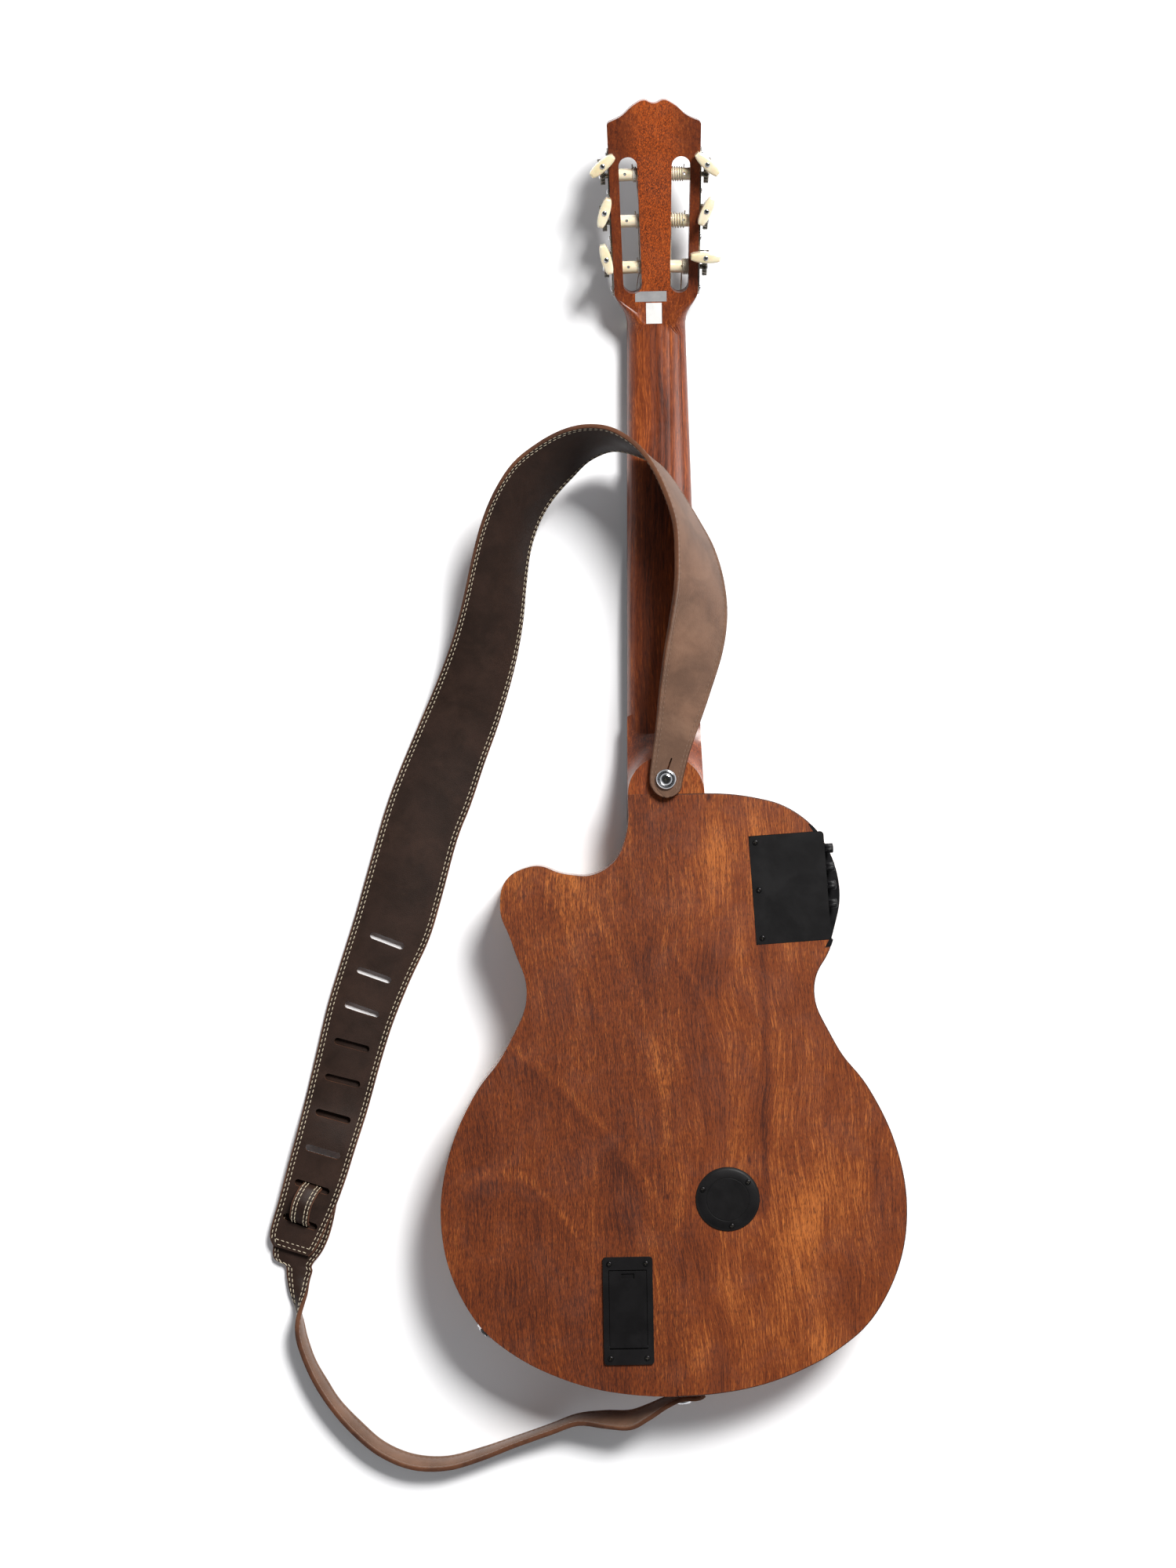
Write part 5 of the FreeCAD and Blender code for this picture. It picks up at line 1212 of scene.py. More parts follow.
@dataclass(frozen=True)
class Dressing:
    """The finish of some CAD nodes and the rounding of their edges; its angle is in degrees."""

    names: tuple[str, ...]
    finish: Finish
    bevel: float
    angle: float = 32.0
    segments: int = 2
    edge: Finish | None = None

    def put_on(self, nodes: dict[str, bpy.types.Object]) -> None:
        """Gives the nodes their finish, smooth shading and small rounded edges.

        Args:
            nodes: The CAD nodes by name.
        """
        for node in (nodes[name] for name in self.names):
            mesh = node.data
            mesh.materials.clear()
            for finish in filter(None, (self.finish, self.edge)):
                mesh.materials.append(Palette.get(finish))
            mesh.polygons.foreach_set("material_index", [0] * len(mesh.polygons))
            for name in ("custom_normal", "sharp_edge", "sharp_face"):
                if name in mesh.attributes:
                    mesh.attributes.remove(mesh.attributes[name])
            mesh.polygons.foreach_set("use_smooth", [True] * len(mesh.polygons))
            mesh.update()
            node.modifiers.new("weld", "WELD").merge_threshold = 0.000002
            rounding = node.modifiers.new("rounding", "BEVEL")
            rounding.limit_method, rounding.angle_limit = "ANGLE", math.radians(self.angle)
            rounding.width, rounding.segments = self.bevel * MM, self.segments
            rounding.use_clamp_overlap, rounding.harden_normals = True, True
            if self.edge is not None:
                rounding.material = 1
            log.info("dressed %s", node.name)


@dataclass
class WoodenParts:
    """The body, neck and board: CAD nodes with their own finishes."""

    nodes: dict[str, bpy.types.Object]
    dressings: tuple[Dressing, ...] = (
        # The back's rounded edges are painted dark, as shade.
        Dressing(("back_half_left", "back_half_right"), BACK, 0.75, 50, edge=EDGE),
        Dressing(("side_rim",), SIDE, 0.3), Dressing(("top_plate",), TOP, 0.5),
        Dressing(("neck",), NECK, 0.5), Dressing(("heel_cap",), CAP, 0.35, edge=LINE),
        Dressing(("fingerboard", "bridge", "headstock_veneer"), BOARD, 0.3),
        Dressing(("neck_block", "tail_block", "linings", "top_braces", "bridge_plate", "back_braces"), BRACE,
                 0.3),
        Dressing(("nut", "saddle"), BONE, 0.15), Dressing(("frets",), FRET, 0.1, 50),
        Dressing(("truss_rod",), ROD, 0.2), Dressing(("pickup",), PIEZO, 0.1))

    def dress(self) -> None:
        """Gives every wooden node its finish."""
        for dressing in self.dressings:
            dressing.put_on(self.nodes)


@dataclass
class Stickers:
    """Two small blank paper labels on the throat, which follow the neck's round back."""

    neck: bpy.types.Object
    labels: tuple[tuple[str, Finish, float, float, float, float], ...] = (
        ("label_grey", PAPER_GREY, -4.0, 17.6, 24.0, 7.6),
        ("label_white", PAPER_WHITE, -1.8, 5.2, 12.0, 15.4))
    lift: float = 0.12
    steps: int = 12
    start_z: float = 90.0

    def build(self) -> None:
        """Lays each label on the neck by dropping its points from above."""
        mesh = self.neck.data
        tree = BVHTree.FromPolygons([v.co for v in mesh.vertices], [p.vertices for p in mesh.polygons])
        shares = [step / self.steps - 0.5 for step in range(self.steps + 1)]
        for name, finish, x, y, width, length in self.labels:
            points = []
            for row, column in itertools.product(shares, shares):
                spot = Vector((x + width * column, y + length * row, self.start_z)) * MM
                hit, normal, _, _ = tree.ray_cast(spot, -Z)
                points.append((hit + normal * self.lift * MM) / MM)
            faces = rings_to_faces(len(shares), len(shares), closed=False)
            make_piece(name, (points, faces), "guitar", [finish])


@dataclass(frozen=True)
class HeadPlace:
    """Where one machine head sits. Its roller's axis points outward."""

    number: int
    side: int
    roller: Frame
    worm: Frame

    @property
    def axle(self) -> Frame:
        """The roller's frame, turned so that its up is the roller's axis."""
        return Frame(self.roller.origin, self.roller.forward, self.roller.up, self.roller.right)


@dataclass
class MachineHeads:
    """Six machine heads: ivory rollers and buttons, worms and wheels on two plates."""

    nodes: dict[str, bpy.types.Object]
    lean: float = 15.0
    worm_axis: float = 19.39
    side_face: float = 14.455
    slot_side: float = 7.1
    roller_radius: float = 5.0
    string_hole: float = 2.6
    hole_radius: float = 1.1
    hole_tilt: float = -0.15
    wheel_radius: float = 6.3
    wheel_width: float = 3.6
    teeth: int = 14
    tooth_points: int = 8
    tooth_height: float = 0.85
    tooth_twist: float = 0.06
    centre_distance: float = 9.0
    button_base: float = 11.1
    button_height: float = 15.0
    button_length: float = 22.6
    button_width: float = 8.0
    button_points: int = 64
    tip_share: float = 1.08
    worm_half: float = 3.3
    worm_lead: float = math.pi * 0.9
    angles: tuple[float, ...] = (105.0, 72.0, 40.0, 136.0, 65.0, 176.0)
    roller_spots: tuple[Point, ...] = (
        (-18.084, 40.815, 28.102), (-19.0, 74.611, 37.157), (-19.916, 108.407, 46.213),
        (19.916, 108.407, 46.213), (19.0, 74.611, 37.157), (18.084, 40.815, 28.102))
    places: list[HeadPlace] = field(default_factory=list)

    def __post_init__(self) -> None:
        """Works out each head's frames from its roller's place."""
        up = Vector((0, -math.sin(math.radians(self.lean)), math.cos(math.radians(self.lean))))
        for number, spot in enumerate(self.roller_spots):
            side = -1 if number < 3 else 1
            out = Vector((side * 0.99966, -0.02528, -0.00678)).normalized()
            forward = (up.cross(out) * side).normalized()
            roller = Frame(Vector(spot), out, forward, up)
            worm = Frame(roller.at(self.worm_axis, self.centre_distance, 0), out, forward, up)
            self.places.append(HeadPlace(number + 1, side, roller, worm))

    def build(self) -> None:
        """Builds every head and dresses the plates."""
        for place in self.places:
            self.build_roller(place)
            self.build_wheel(place)
            self.build_button(place)
        Dressing(("tuner_plate_left", "tuner_plate_right"), PLATE, 0.15, 40).put_on(self.nodes)

    def build_roller(self, place: HeadPlace) -> None:
        """Builds a roller with its string hole.

        Args:
            place: Which head.
        """
        frame, r, slot, tilt = place.roller, self.roller_radius, self.slot_side, self.hole_tilt
        body, inner, outer = f"tuner_roller_{place.number}", -self.slot_side - 3.1, self.side_face - 0.1
        profile = [(r - 0.4, inner), (r, inner + 0.4), (r, -slot + 0.3), (r * 0.97, -slot + 1.2),
                   (r * 0.97, slot - 1.2), (r, slot - 0.3), (r, outer - 0.4), (r - 0.4, outer)]
        barrel = make_piece(f"roller_barrel_{place.number}", lathe(place.axle, profile, 56), body,
                            [IVORY, IVORY_HOLE_SHADE])
        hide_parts(body)
        hole = Frame(frame.at(self.string_hole, 0, 0), frame.right * place.side,
                     (frame.forward + frame.up * tilt).normalized(),
                     (frame.up - frame.forward * tilt).normalized())
        # The hole's walls take the darker ivory, as painted shade inside the hole.
        cut_out(barrel, [lathe(hole, [(self.hole_radius, -2 * r), (self.hole_radius, 2 * r)], 24)], 1)

    def build_wheel(self, place: HeadPlace) -> None:
        """Builds the toothed wheel, its spindle and its screw.

        Args:
            place: Which head.
        """
        axis, k, body = place.axle, place.number, f"tuner_roller_{place.number}"
        start, end = self.worm_axis - self.wheel_width / 2, self.worm_axis + self.wheel_width / 2
        sides, points = self.teeth * self.tooth_points, []
        for level, shrink in ((start, 0.35), (start + 0.3, 0.0), (end - 0.3, 0.0), (end, 0.35)):
            twist = (level - self.worm_axis) * self.tooth_twist
            for turn in circle(sides):
                wave = max(min(math.cos(self.teeth * turn) * 1.6, 1), -1)
                reach = self.wheel_radius - 0.25 + self.tooth_height * wave - shrink
                points.append(axis.round(reach, turn + twist, level))
        spindle = lathe(axis, [(2.0, self.side_face - 0.2), (2.0, start + 0.1)], 32)
        make_piece(f"wheel_{k}", joined([(points, rings_to_faces(4, sides)), spindle]), body, [GEAR],
                   crease=28)
        self.build_screw(f"wheel_screw_{k}", axis, axis, end, (2.5, 2.1, 1.2), (0.5, 0.95, 1.15), body,
                         (3.0, 0.6, 0.3))

    def build_screw(self, name: str, frame: Frame, slot: Frame, base: float, radii: Point, heights: Point,
                    body: str, cut: Point) -> None:
        """Builds a domed screw with a driver's slot.

        Args:
            name: The piece's name.
            frame: Its frame.
            slot: The frame of its slot.
            base: Where it starts on the frame's up axis.
            radii: Its radius below, at its shoulder and on top.
            heights: How high these reach over the base.
            body: The CAD body that carries it.
            cut: Half the slot's length, its depth and half its width.
        """
        foot = base if radii[0] > 2 else base - 0.1
        dome = [(radii[0], foot), *((r, base + high) for r, high in zip(radii, heights))]
        screw = make_piece(name, lathe(frame, dome, 32), body, [CHROME, GEAR])
        top, (reach, depth, half) = base + heights[2], cut
        cut_out(screw, [prism(slot, oblong(reach, half), top - depth, top + 1.0)], 1)

    def grip_ring(self, frame: Frame, angle: float, inset: float, level: float) -> list[Vector]:
        """A tapered oval with flat ends across the worm's axis.

        Args:
            frame: The button's frame.
            angle: Its turn, in radians.
            inset: How far it is drawn in.
            level: Its height along the axis.

        Returns:
            The oval's points.
        """
        tip, half = self.button_length / 2 - inset, self.button_width / 2 - inset
        ring = []
        for turn in circle(self.button_points):
            x = max(min(tip * self.tip_share * math.cos(turn), tip), -tip)
            y = half * math.copysign(abs(math.sin(turn)) ** 0.8, math.sin(turn))
            ring.append(frame.at(x * math.cos(angle) - y * math.sin(angle),
                                 x * math.sin(angle) + y * math.cos(angle), level))
        return ring

    def build_button(self, place: HeadPlace) -> None:
        """Builds the button, its screw and the worm on its shaft.

        Args:
            place: Which head.
        """
        k, frame, body = place.number, place.worm, f"tuner_button_{place.number}"
        angle = math.radians(self.angles[k - 1])
        across = Frame(frame.origin, X, frame.up.cross(X), frame.up)
        base, top = self.button_base, self.button_base + self.button_height
        levels = ((1.5, base), (0.55, base + 0.35), (0.1, base + 1.0), (0.0, base + 1.8), (0.25, base + 7.5),
                  (0.0, top - 1.8), (0.1, top - 1.1), (0.6, top - 0.4), (1.7, top))
        points = [p for inset, z in levels for p in self.grip_ring(across, angle, inset, z)]
        grip = make_piece(f"button_grip_{k}", (points, rings_to_faces(len(levels), self.button_points)), body,
                          [IVORY], crease=50)
        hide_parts(body)
        slot = Frame(frame.origin, (frame.right + frame.forward).normalized(),
                     (frame.forward - frame.right).normalized(), frame.up)
        self.build_screw(f"button_screw_{k}", frame, slot, top, (1.9, 1.5, 0.8), (0.4, 0.75, 0.88), body,
                         (2.4, 0.5, 0.26))
        washer = lathe(frame, [(2.9, 6.95), (3.0, 7.1), (3.0, base - 0.15), (2.9, base)], 40)
        shaft = lathe(frame, [(1.5, -7.8), (1.5, base)], 24)
        make_piece(f"worm_{k}", joined([washer, shaft, self.worm_shape(frame)]), body, [GEAR],
                   crease=40)

    def worm_shape(self, frame: Frame) -> Shape:
        """The worm's thread as one surface whose radius rises and falls along a helix.

        Args:
            frame: The worm's frame.

        Returns:
            Its points and faces.
        """
        sides, levels, half, points = 36, 44, self.worm_half, []
        for level, turn in itertools.product(range(levels), circle(sides)):
            z = -half + 2 * half * level / (levels - 1)
            fade = min(1.0, (half - abs(z)) / 0.5)
            wave = max(min(math.cos(2 * math.pi * z / self.worm_lead - turn) * 1.5, 1), -1)
            points.append(frame.round(2.1 + 0.75 * wave * fade, turn, z))
        return points, rings_to_faces(levels, sides)


@dataclass
class Screws:
    """Domed cross-head screws in place of the plain ones that hold covers and plates."""

    nodes: dict[str, bpy.types.Object]
    head: float = 2.1
    rise: float = 1.1

    def build(self) -> None:
        """Makes a screw on each of the CAD screws' own places."""
        r, high = self.head, self.rise
        dome = [(r * 0.5, -4.5), (r * 0.5, 0), (r, 0), (r, high * 0.35), (r * 0.86, high * 0.75),
                (r * 0.55, high)]
        for node, name in (("cover_screws", "cover_screw_heads"), ("tuner_screws", "tuner_screw_heads")):
            places = self.places(self.nodes[node])
            shapes = [lathe(frame, dome, 28) for frame in places]
            on_back = [abs(frame.up.z) > 0.9 and node == "cover_screws" for frame in places]
            kinds = [0 if black else 2 for black, (_, faces) in zip(on_back, shapes) for _ in faces]
            piece = make_piece(name, joined(shapes), "guitar", [SCREW_BLACK, GEAR, CHROME],
                               kinds, crease=40)
            cut_cross(piece, places, high, 0.7, 1.3, 0.26)
            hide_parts(node)

    def places(self, node: bpy.types.Object) -> list[Frame]:
        """Finds each screw of a node: the middle of its head and the way it points out.

        Args:
            node: The node with the screws.

        Returns:
            A frame for each screw, with its origin under the head.
        """
        shape = bmesh.new()
        shape.from_mesh(node.data)
        bmesh.ops.remove_doubles(shape, verts=shape.verts, dist=0.00001)
        left, found = dict.fromkeys(shape.verts), []
        while left:
            front, island = [left.popitem()[0]], []
            while front:
                vert = front.pop()
                island.append(tuple(vert.co))
                for edge in vert.link_edges:
                    other = edge.other_vert(vert)
                    if other in left:
                        del left[other]
                        front.append(other)
            found.append(self.frame_of(np.array(island) / MM))
        shape.free()
        return found

    def frame_of(self, points: np.ndarray) -> Frame:
        """The frame of one screw from its points, whose wide end is its head.

        Args:
            points: The screw's points.

        Returns:
            Its frame.
        """
        middle = points.mean(axis=0)
        axis = np.linalg.svd(points - middle)[2][0]
        along = (points - middle) @ axis
        radius = np.linalg.norm(points - middle - np.outer(along, axis), axis=1)
        if radius[along > 0].max() < radius[along < 0].max():
            axis, along = -axis, -along
        return Frame.along_axis(Vector(middle + axis * (along.max() - self.rise)), Vector(axis))


@dataclass
class Strings:
    """Six strings from the tie block over the saddle and nut to their turns on the rollers."""

    heads: MachineHeads
    diameters: tuple[float, ...] = (0.7, 0.8, 1.0, 0.75, 0.9, 1.1)
    turns: tuple[float, ...] = (2.1, 2.1, 2.1, 5.1, 5.1, 4.1)
    starts: tuple[float, ...] = (-6.4, -6.4, -6.0, -6.6, -6.6, 2.4)
    gaps: tuple[float, ...] = (0.2, 0.2, 0.2, 1.0, 1.1, 0.15)
    nut_spread: float = 37.0
    saddle_spread: float = 59.0
    nut_y: float = 2.5
    saddle_y: float = -652.5
    tie_z: float = 6.0
    notch_z: float = 0.4
    turn_samples: int = 40

    def build(self) -> None:
        """Makes each string as a round line."""
        for number, place in enumerate(self.heads.places):
            finish, slot = (NYLON, "nylon_clear") if number < 3 else (WOUND, "wound_metal")
            string = round_line(f"string_line_{number + 1}", self.route(number, place), self.diameters[number],
                                finish)
            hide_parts(f"string_{number + 1}")

    def route(self, number: int, place: HeadPlace) -> list[Vector]:
        """The string's way, with its turns on the roller and its free end.

        Args:
            number: The string's number from zero.
            place: Its machine head.

        Returns:
            The points of its middle line.
        """
        thick, share = self.diameters[number], number / 5 - 0.5
        at_saddle, at_nut = self.saddle_spread * share, self.nut_spread * share
        z = self.notch_z + thick / 2 - 0.35
        points = [Vector((at_saddle, self.saddle_y + y, height))
                  for y, height in ((-21.5, self.tie_z), (-8.2, self.tie_z), (-1.7, z), (1.7, z))]
        points += [Vector((at_nut, self.nut_y - 1.0, z)), Vector((at_nut, self.nut_y + 0.4, z + 0.15))]
        frame, reach = place.roller, self.heads.roller_radius + thick / 2 + 0.05
        step, first, turns = thick + self.gaps[number], self.starts[number], self.turns[number]
        aim = frame.at(first, 0, -reach) - points[-1]
        begin = math.atan2(aim.dot(frame.up), aim.dot(frame.forward))
        samples = int(turns * self.turn_samples)
        for sample in range(samples + 1):
            turn = begin + 2 * math.pi * turns * sample / samples
            x = first + step * turns * sample / samples
            points.append(frame.at(x, reach * math.sin(turn), -reach * math.cos(turn)))
        last, heading = points[-1], (points[-1] - points[-2]).normalized()
        return points + [last + heading * 2.5 + frame.up * 0.5, last + heading * 4.5 + frame.up * 1.6]


@dataclass
class CoverSurround:
    """The back's wood round the preamplifier's cover, laid thinly over the ends of its housing."""

    middle: Point = (92.3, -435.66, 0.0)
    tilt: float = 3.2
    low: float = 59.9
    high: float = 60.05
    strips: tuple[tuple[Flat, ...], ...] = (
        ((-31.0, 41.3), (20.5, 41.3), (17.0, 47.6), (-31.0, 47.6)),
        ((-31.0, -47.6), (22.5, -47.6), (26.5, -41.3), (-31.0, -41.3)),
        ((-31.0, -41.3), (-28.6, -41.3), (-28.6, 41.3), (-31.0, 41.3)))
    seam: tuple[Flat, ...] = ((-1.0, -814.0), (1.0, -814.0), (1.0, -358.6), (-1.0, -358.6))

    def build(self) -> None:
        """Lays the strips, and one over the rounded edges where the two halves meet."""
        turn = math.radians(self.tilt)
        frame = Frame(Vector(self.middle), Vector((math.cos(turn), math.sin(turn), 0)),
                      Vector((-math.sin(turn), math.cos(turn), 0)))
        shapes = [prism(frame, strip, self.low, self.high) for strip in self.strips]
        shapes.append(prism(Frame(Vector()), self.seam, self.low, self.high))
        make_piece("cover_surround", joined(shapes), "guitar", [BACK], smooth=False)


@dataclass
class Electrics:
    """Preamplifier, covers, knobs, battery box and jack."""

    nodes: dict[str, bpy.types.Object]
    knob_radius: float = 3.75
    knob_length: float = 6.5
    knob_gap: float = 0.4
    knob_flutes: int = 24
    knob_axis: Point = (0.998, 0.056, 0.0)
    knob_spots: tuple[Point, ...] = (
        (119.22, -406.61, 50.5), (120.002, -420.588, 50.5), (120.783, -434.566, 50.5),
        (121.565, -448.544, 50.5))
    cover_spot: Point = (40.8, -670.16, 60.0)
    cover_radius: float = 24.3
    cover_thickness: float = 2.0
    dressings: tuple[Dressing, ...] = (
        Dressing(("preamp_cover", "battery_frame", "battery_door"), BLACK, 0.4, 40, 3),
        Dressing(("preamp_housing",), BLACK_SMOOTH, 0.3), Dressing(("preamp_board",), BOARD_GREEN, 0.2),
        Dressing(("battery",), CASE, 0.6, segments=3), Dressing(("jack_plate",), BLACK, 0.3, segments=3),
        Dressing(("jack",), CHROME, 0.12, 30))

    def build(self) -> None:
        """Builds the round cover and the knobs and dresses the rest."""
        for dressing in self.dressings:
            dressing.put_on(self.nodes)
        self.build_round_cover()
        for number, spot in enumerate(self.knob_spots):
            self.build_knob(number + 1, Frame.along_axis(Vector(spot), Vector(self.knob_axis)))

    def build_round_cover(self) -> None:
        """Builds the round cover with its bevelled rim and a shallow groove round its middle."""
        r, t = self.cover_radius, self.cover_thickness
        profile = [(r, 0.02), (r, 0.5), (r - 0.35, 0.95), (r - 1.7, t - 0.15), (r - 2.1, t), (r - 7.6, t),
                   (r - 7.9, t - 0.25), (r - 8.3, t - 0.25), (r - 8.6, t), (0.6, t)]
        cover = make_piece("round_cover_disc", lathe(Frame(Vector(self.cover_spot)), profile, 96), "guitar",
                           [BLACK], crease=24)
        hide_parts("round_cover")

    def build_knob(self, number: int, frame: Frame) -> None:
        """Builds a fluted knob with a pointer line on its end.

        Args:
            number: The knob's number.
            frame: Where its shaft leaves the wall.
        """
        body, sides, points = f"knob_{number}", 96, []
        start, end = self.knob_gap, self.knob_gap + self.knob_length
        for level, shrink in ((start, 0.25), (start + 0.3, 0.0), (end - 0.5, 0.1), (end - 0.15, 0.35),
                              (end, 0.8)):
            for turn in circle(sides):
                flute = 0.16 * (1 + math.cos(self.knob_flutes * turn)) if shrink < 0.3 else 0.2
                points.append(frame.round(self.knob_radius - shrink - flute, turn, level))
        knob = make_piece(f"knob_grip_{number}", (points, rings_to_faces(5, sides)), body, [BLACK_SMOOTH],
                          crease=50)
        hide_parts(body)
        shaft = lathe(frame, [(1.5, -2.3), (1.5, start + 0.1)], 24)
        make_piece(f"knob_shaft_{number}", shaft, body, [CHROME])
        pointer = prism(frame, oblong(0.25, 1.1, 1.5), end - 0.1, end + 0.02)
        make_piece(f"knob_pointer_{number}", pointer, body, [PAPER_WHITE])


@dataclass
class Leads:
    """The two leads inside the body, from the preamplifier to the battery box and to the jack."""

    width: float = 2.4
    routes: tuple[tuple[str, tuple[Point, ...], str], ...] = (
        ("battery_lead", ((94.9, -482.14, 37.8), (96.57, -512.09, 28.2), (20, -560, 28.2), (-20, -640, 28.2),
                          (-35.9, -690.26, 45.33), (-35.9, -720.26, 45.33)), "object"),
        ("jack_lead", ((79.92, -482.97, 37.8), (81.6, -512.93, 28.2), (50, -620, 28.2), (0, -700, 28.2),
                       (-96.15, -723.42, 35), (-117.92, -744.06, 35)), "object"))

    def build(self) -> None:
        for name, route, far_end in self.routes:
            lead = round_line(name, route, self.width, RUBBER, bent=True)
            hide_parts("wiring")
            self.real_length(route)
            self.width * MM
            log.info("%s laid", name)

    def real_length(self, route: Sequence[Point]) -> float:
        """Works out the length of the quadratic curve through a route's control points.

        Args:
            route: The control points.

        Returns:
            The length in metres.
        """
        spots = [Vector(p) for p in route]
        knots = [spots[0]] + [(a + b) / 2 for a, b in zip(spots[1:-2], spots[2:-1])] + [spots[-1]]
        total = 0.0
        for start, bend, end in zip(knots, spots[1:-1], knots[1:]):
            curve = [start * (1 - t) ** 2 + bend * (2 * t * (1 - t)) + end * t * t
                     for t in (step / 32 for step in range(33))]
            total += sum((there - here).length for here, there in zip(curve, curve[1:]))
        return total * MM


@dataclass
class StrapButtons:
    """The two chrome buttons that hold the strap's ends."""

    heel: Point = (0.0, -351.758, 60.0)
    tail: Point = (4.0, -818.93, 35.0)
    height: float = 10.2
    profile: tuple[Flat, ...] = (
        (5.5, 0), (5.4, 0.5), (3.6, 2.1), (3.2, 2.6), (3.2, 6.6), (4.0, 7.0), (7.3, 7.0), (7.7, 7.35),
        (7.7, 8.0), (7.3, 8.7), (6.3, 9.3), (5.9, 9.3), (5.5, 8.7), (4.9, 8.7), (4.6, 9.3), (3.6, 9.9),
        (2.4, 10.2))

    def build(self) -> None:
        """Turns both buttons as one piece."""
        places = (Frame(Vector(self.heel)), Frame(Vector(self.tail), X, Z, -Y))
        buttons = make_piece("strap_button_pair", joined(lathe(frame, self.profile, 64) for frame in places),
                             "guitar", [CHROME, GEAR])
        cut_cross(buttons, places, self.height, 1.6, 2.1, 0.42)
        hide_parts("strap_buttons")


LYING = 2.5
RAISED = 6.2


@dataclass
class Band:
    """A leather band between two edges, with rounded sides and stitch grooves."""

    name: str
    stations: Sequence[Station]
    thickness: float = 3.5
    steps: int = 5
    groove: float = 3.4

    def smooth_edge(self, which: int) -> list[Vector]:
        """Runs smoothly through the first or the second edge's points.

        Args:
            which: 0 for the first edge and 1 for the second.

        Returns:
            The points of the smooth edge.
        """
        spots, line = [Vector(s[which]) for s in self.stations], []
        for number in range(len(spots) - 1):
            a, b = spots[max(number - 1, 0)], spots[number]
            c, d = spots[number + 1], spots[min(number + 2, len(spots) - 1)]
            for t in (step / self.steps for step in range(self.steps)):
                line.append(0.5 * ((2 * b) + (c - a) * t + (2 * a - 5 * b + 4 * c - d) * t * t
                                   + (3 * b - a - 3 * c + d) * t ** 3))
        return line + [spots[-1]]

    def samples(self) -> list[Sample]:
        """The two edges and the grain side's direction at each sample.

        Returns:
            The samples from the band's start to its end.
        """
        edges = list(zip(self.smooth_edge(0), self.smooth_edge(1)))
        middles = [(a + b) / 2 for a, b in edges]
        ends = zip(middles[:1] + middles, middles[1:] + middles[-1:])
        return [(high, low, (high - low).cross(after - before).normalized())
                for (high, low), (before, after) in zip(edges, ends)]

    def section(self, width: float) -> list[tuple[float, float, int]]:
        """The band's cross-section from one edge over the grain side and back.

        Args:
            width: The band's width there.

        Returns:
            Distance from the first edge, height and finish number of each point.
        """
        half, g = self.thickness / 2, min(self.groove, width * 0.22)
        soft = min(0.9, width * 0.12)
        top = [(soft, half, 0), (soft * 2.0, half, 0), (g - 0.6, half, 0), (g, half - 0.3, 0),
               (g + 0.6, half, 0)]
        over = top + [(width / 2, half + 0.12, 0)] + [(width - u, v, m) for u, v, m in reversed(top)]
        under = [(u, -v, 1) for u, v, _ in reversed(over)]
        side = [(soft * 0.3, -half * 0.72, 2), (0.0, 0.0, 2), (soft * 0.3, half * 0.72, 2)]
        return over + [(width - u, -v, m) for u, v, m in side] + under + side

    def build(self) -> tuple[bpy.types.Object, list[Sample]]:
        """Makes the band's mesh.

        Returns:
            The piece and its samples.
        """
        samples, points = self.samples(), []
        marks = [mark for _, _, mark in self.section(20.0)]
        for high, low, normal in samples:
            width, across = (low - high).length, (low - high).normalized()
            points += [high + across * u + normal * v for u, v, _ in self.section(width)]
        faces = [face[::-1] for face in rings_to_faces(len(samples), len(marks))]
        ring = [mark if mark == after else 2 for mark, after in zip(marks, marks[1:] + marks[:1])]
        piece = make_piece(self.name, (points, faces), "guitar", [GRAIN_SIDE, FLESH_SIDE, CUT_SIDE],
                           ring * (len(samples) - 1) + [2, 2], crease=60)
        return piece, samples


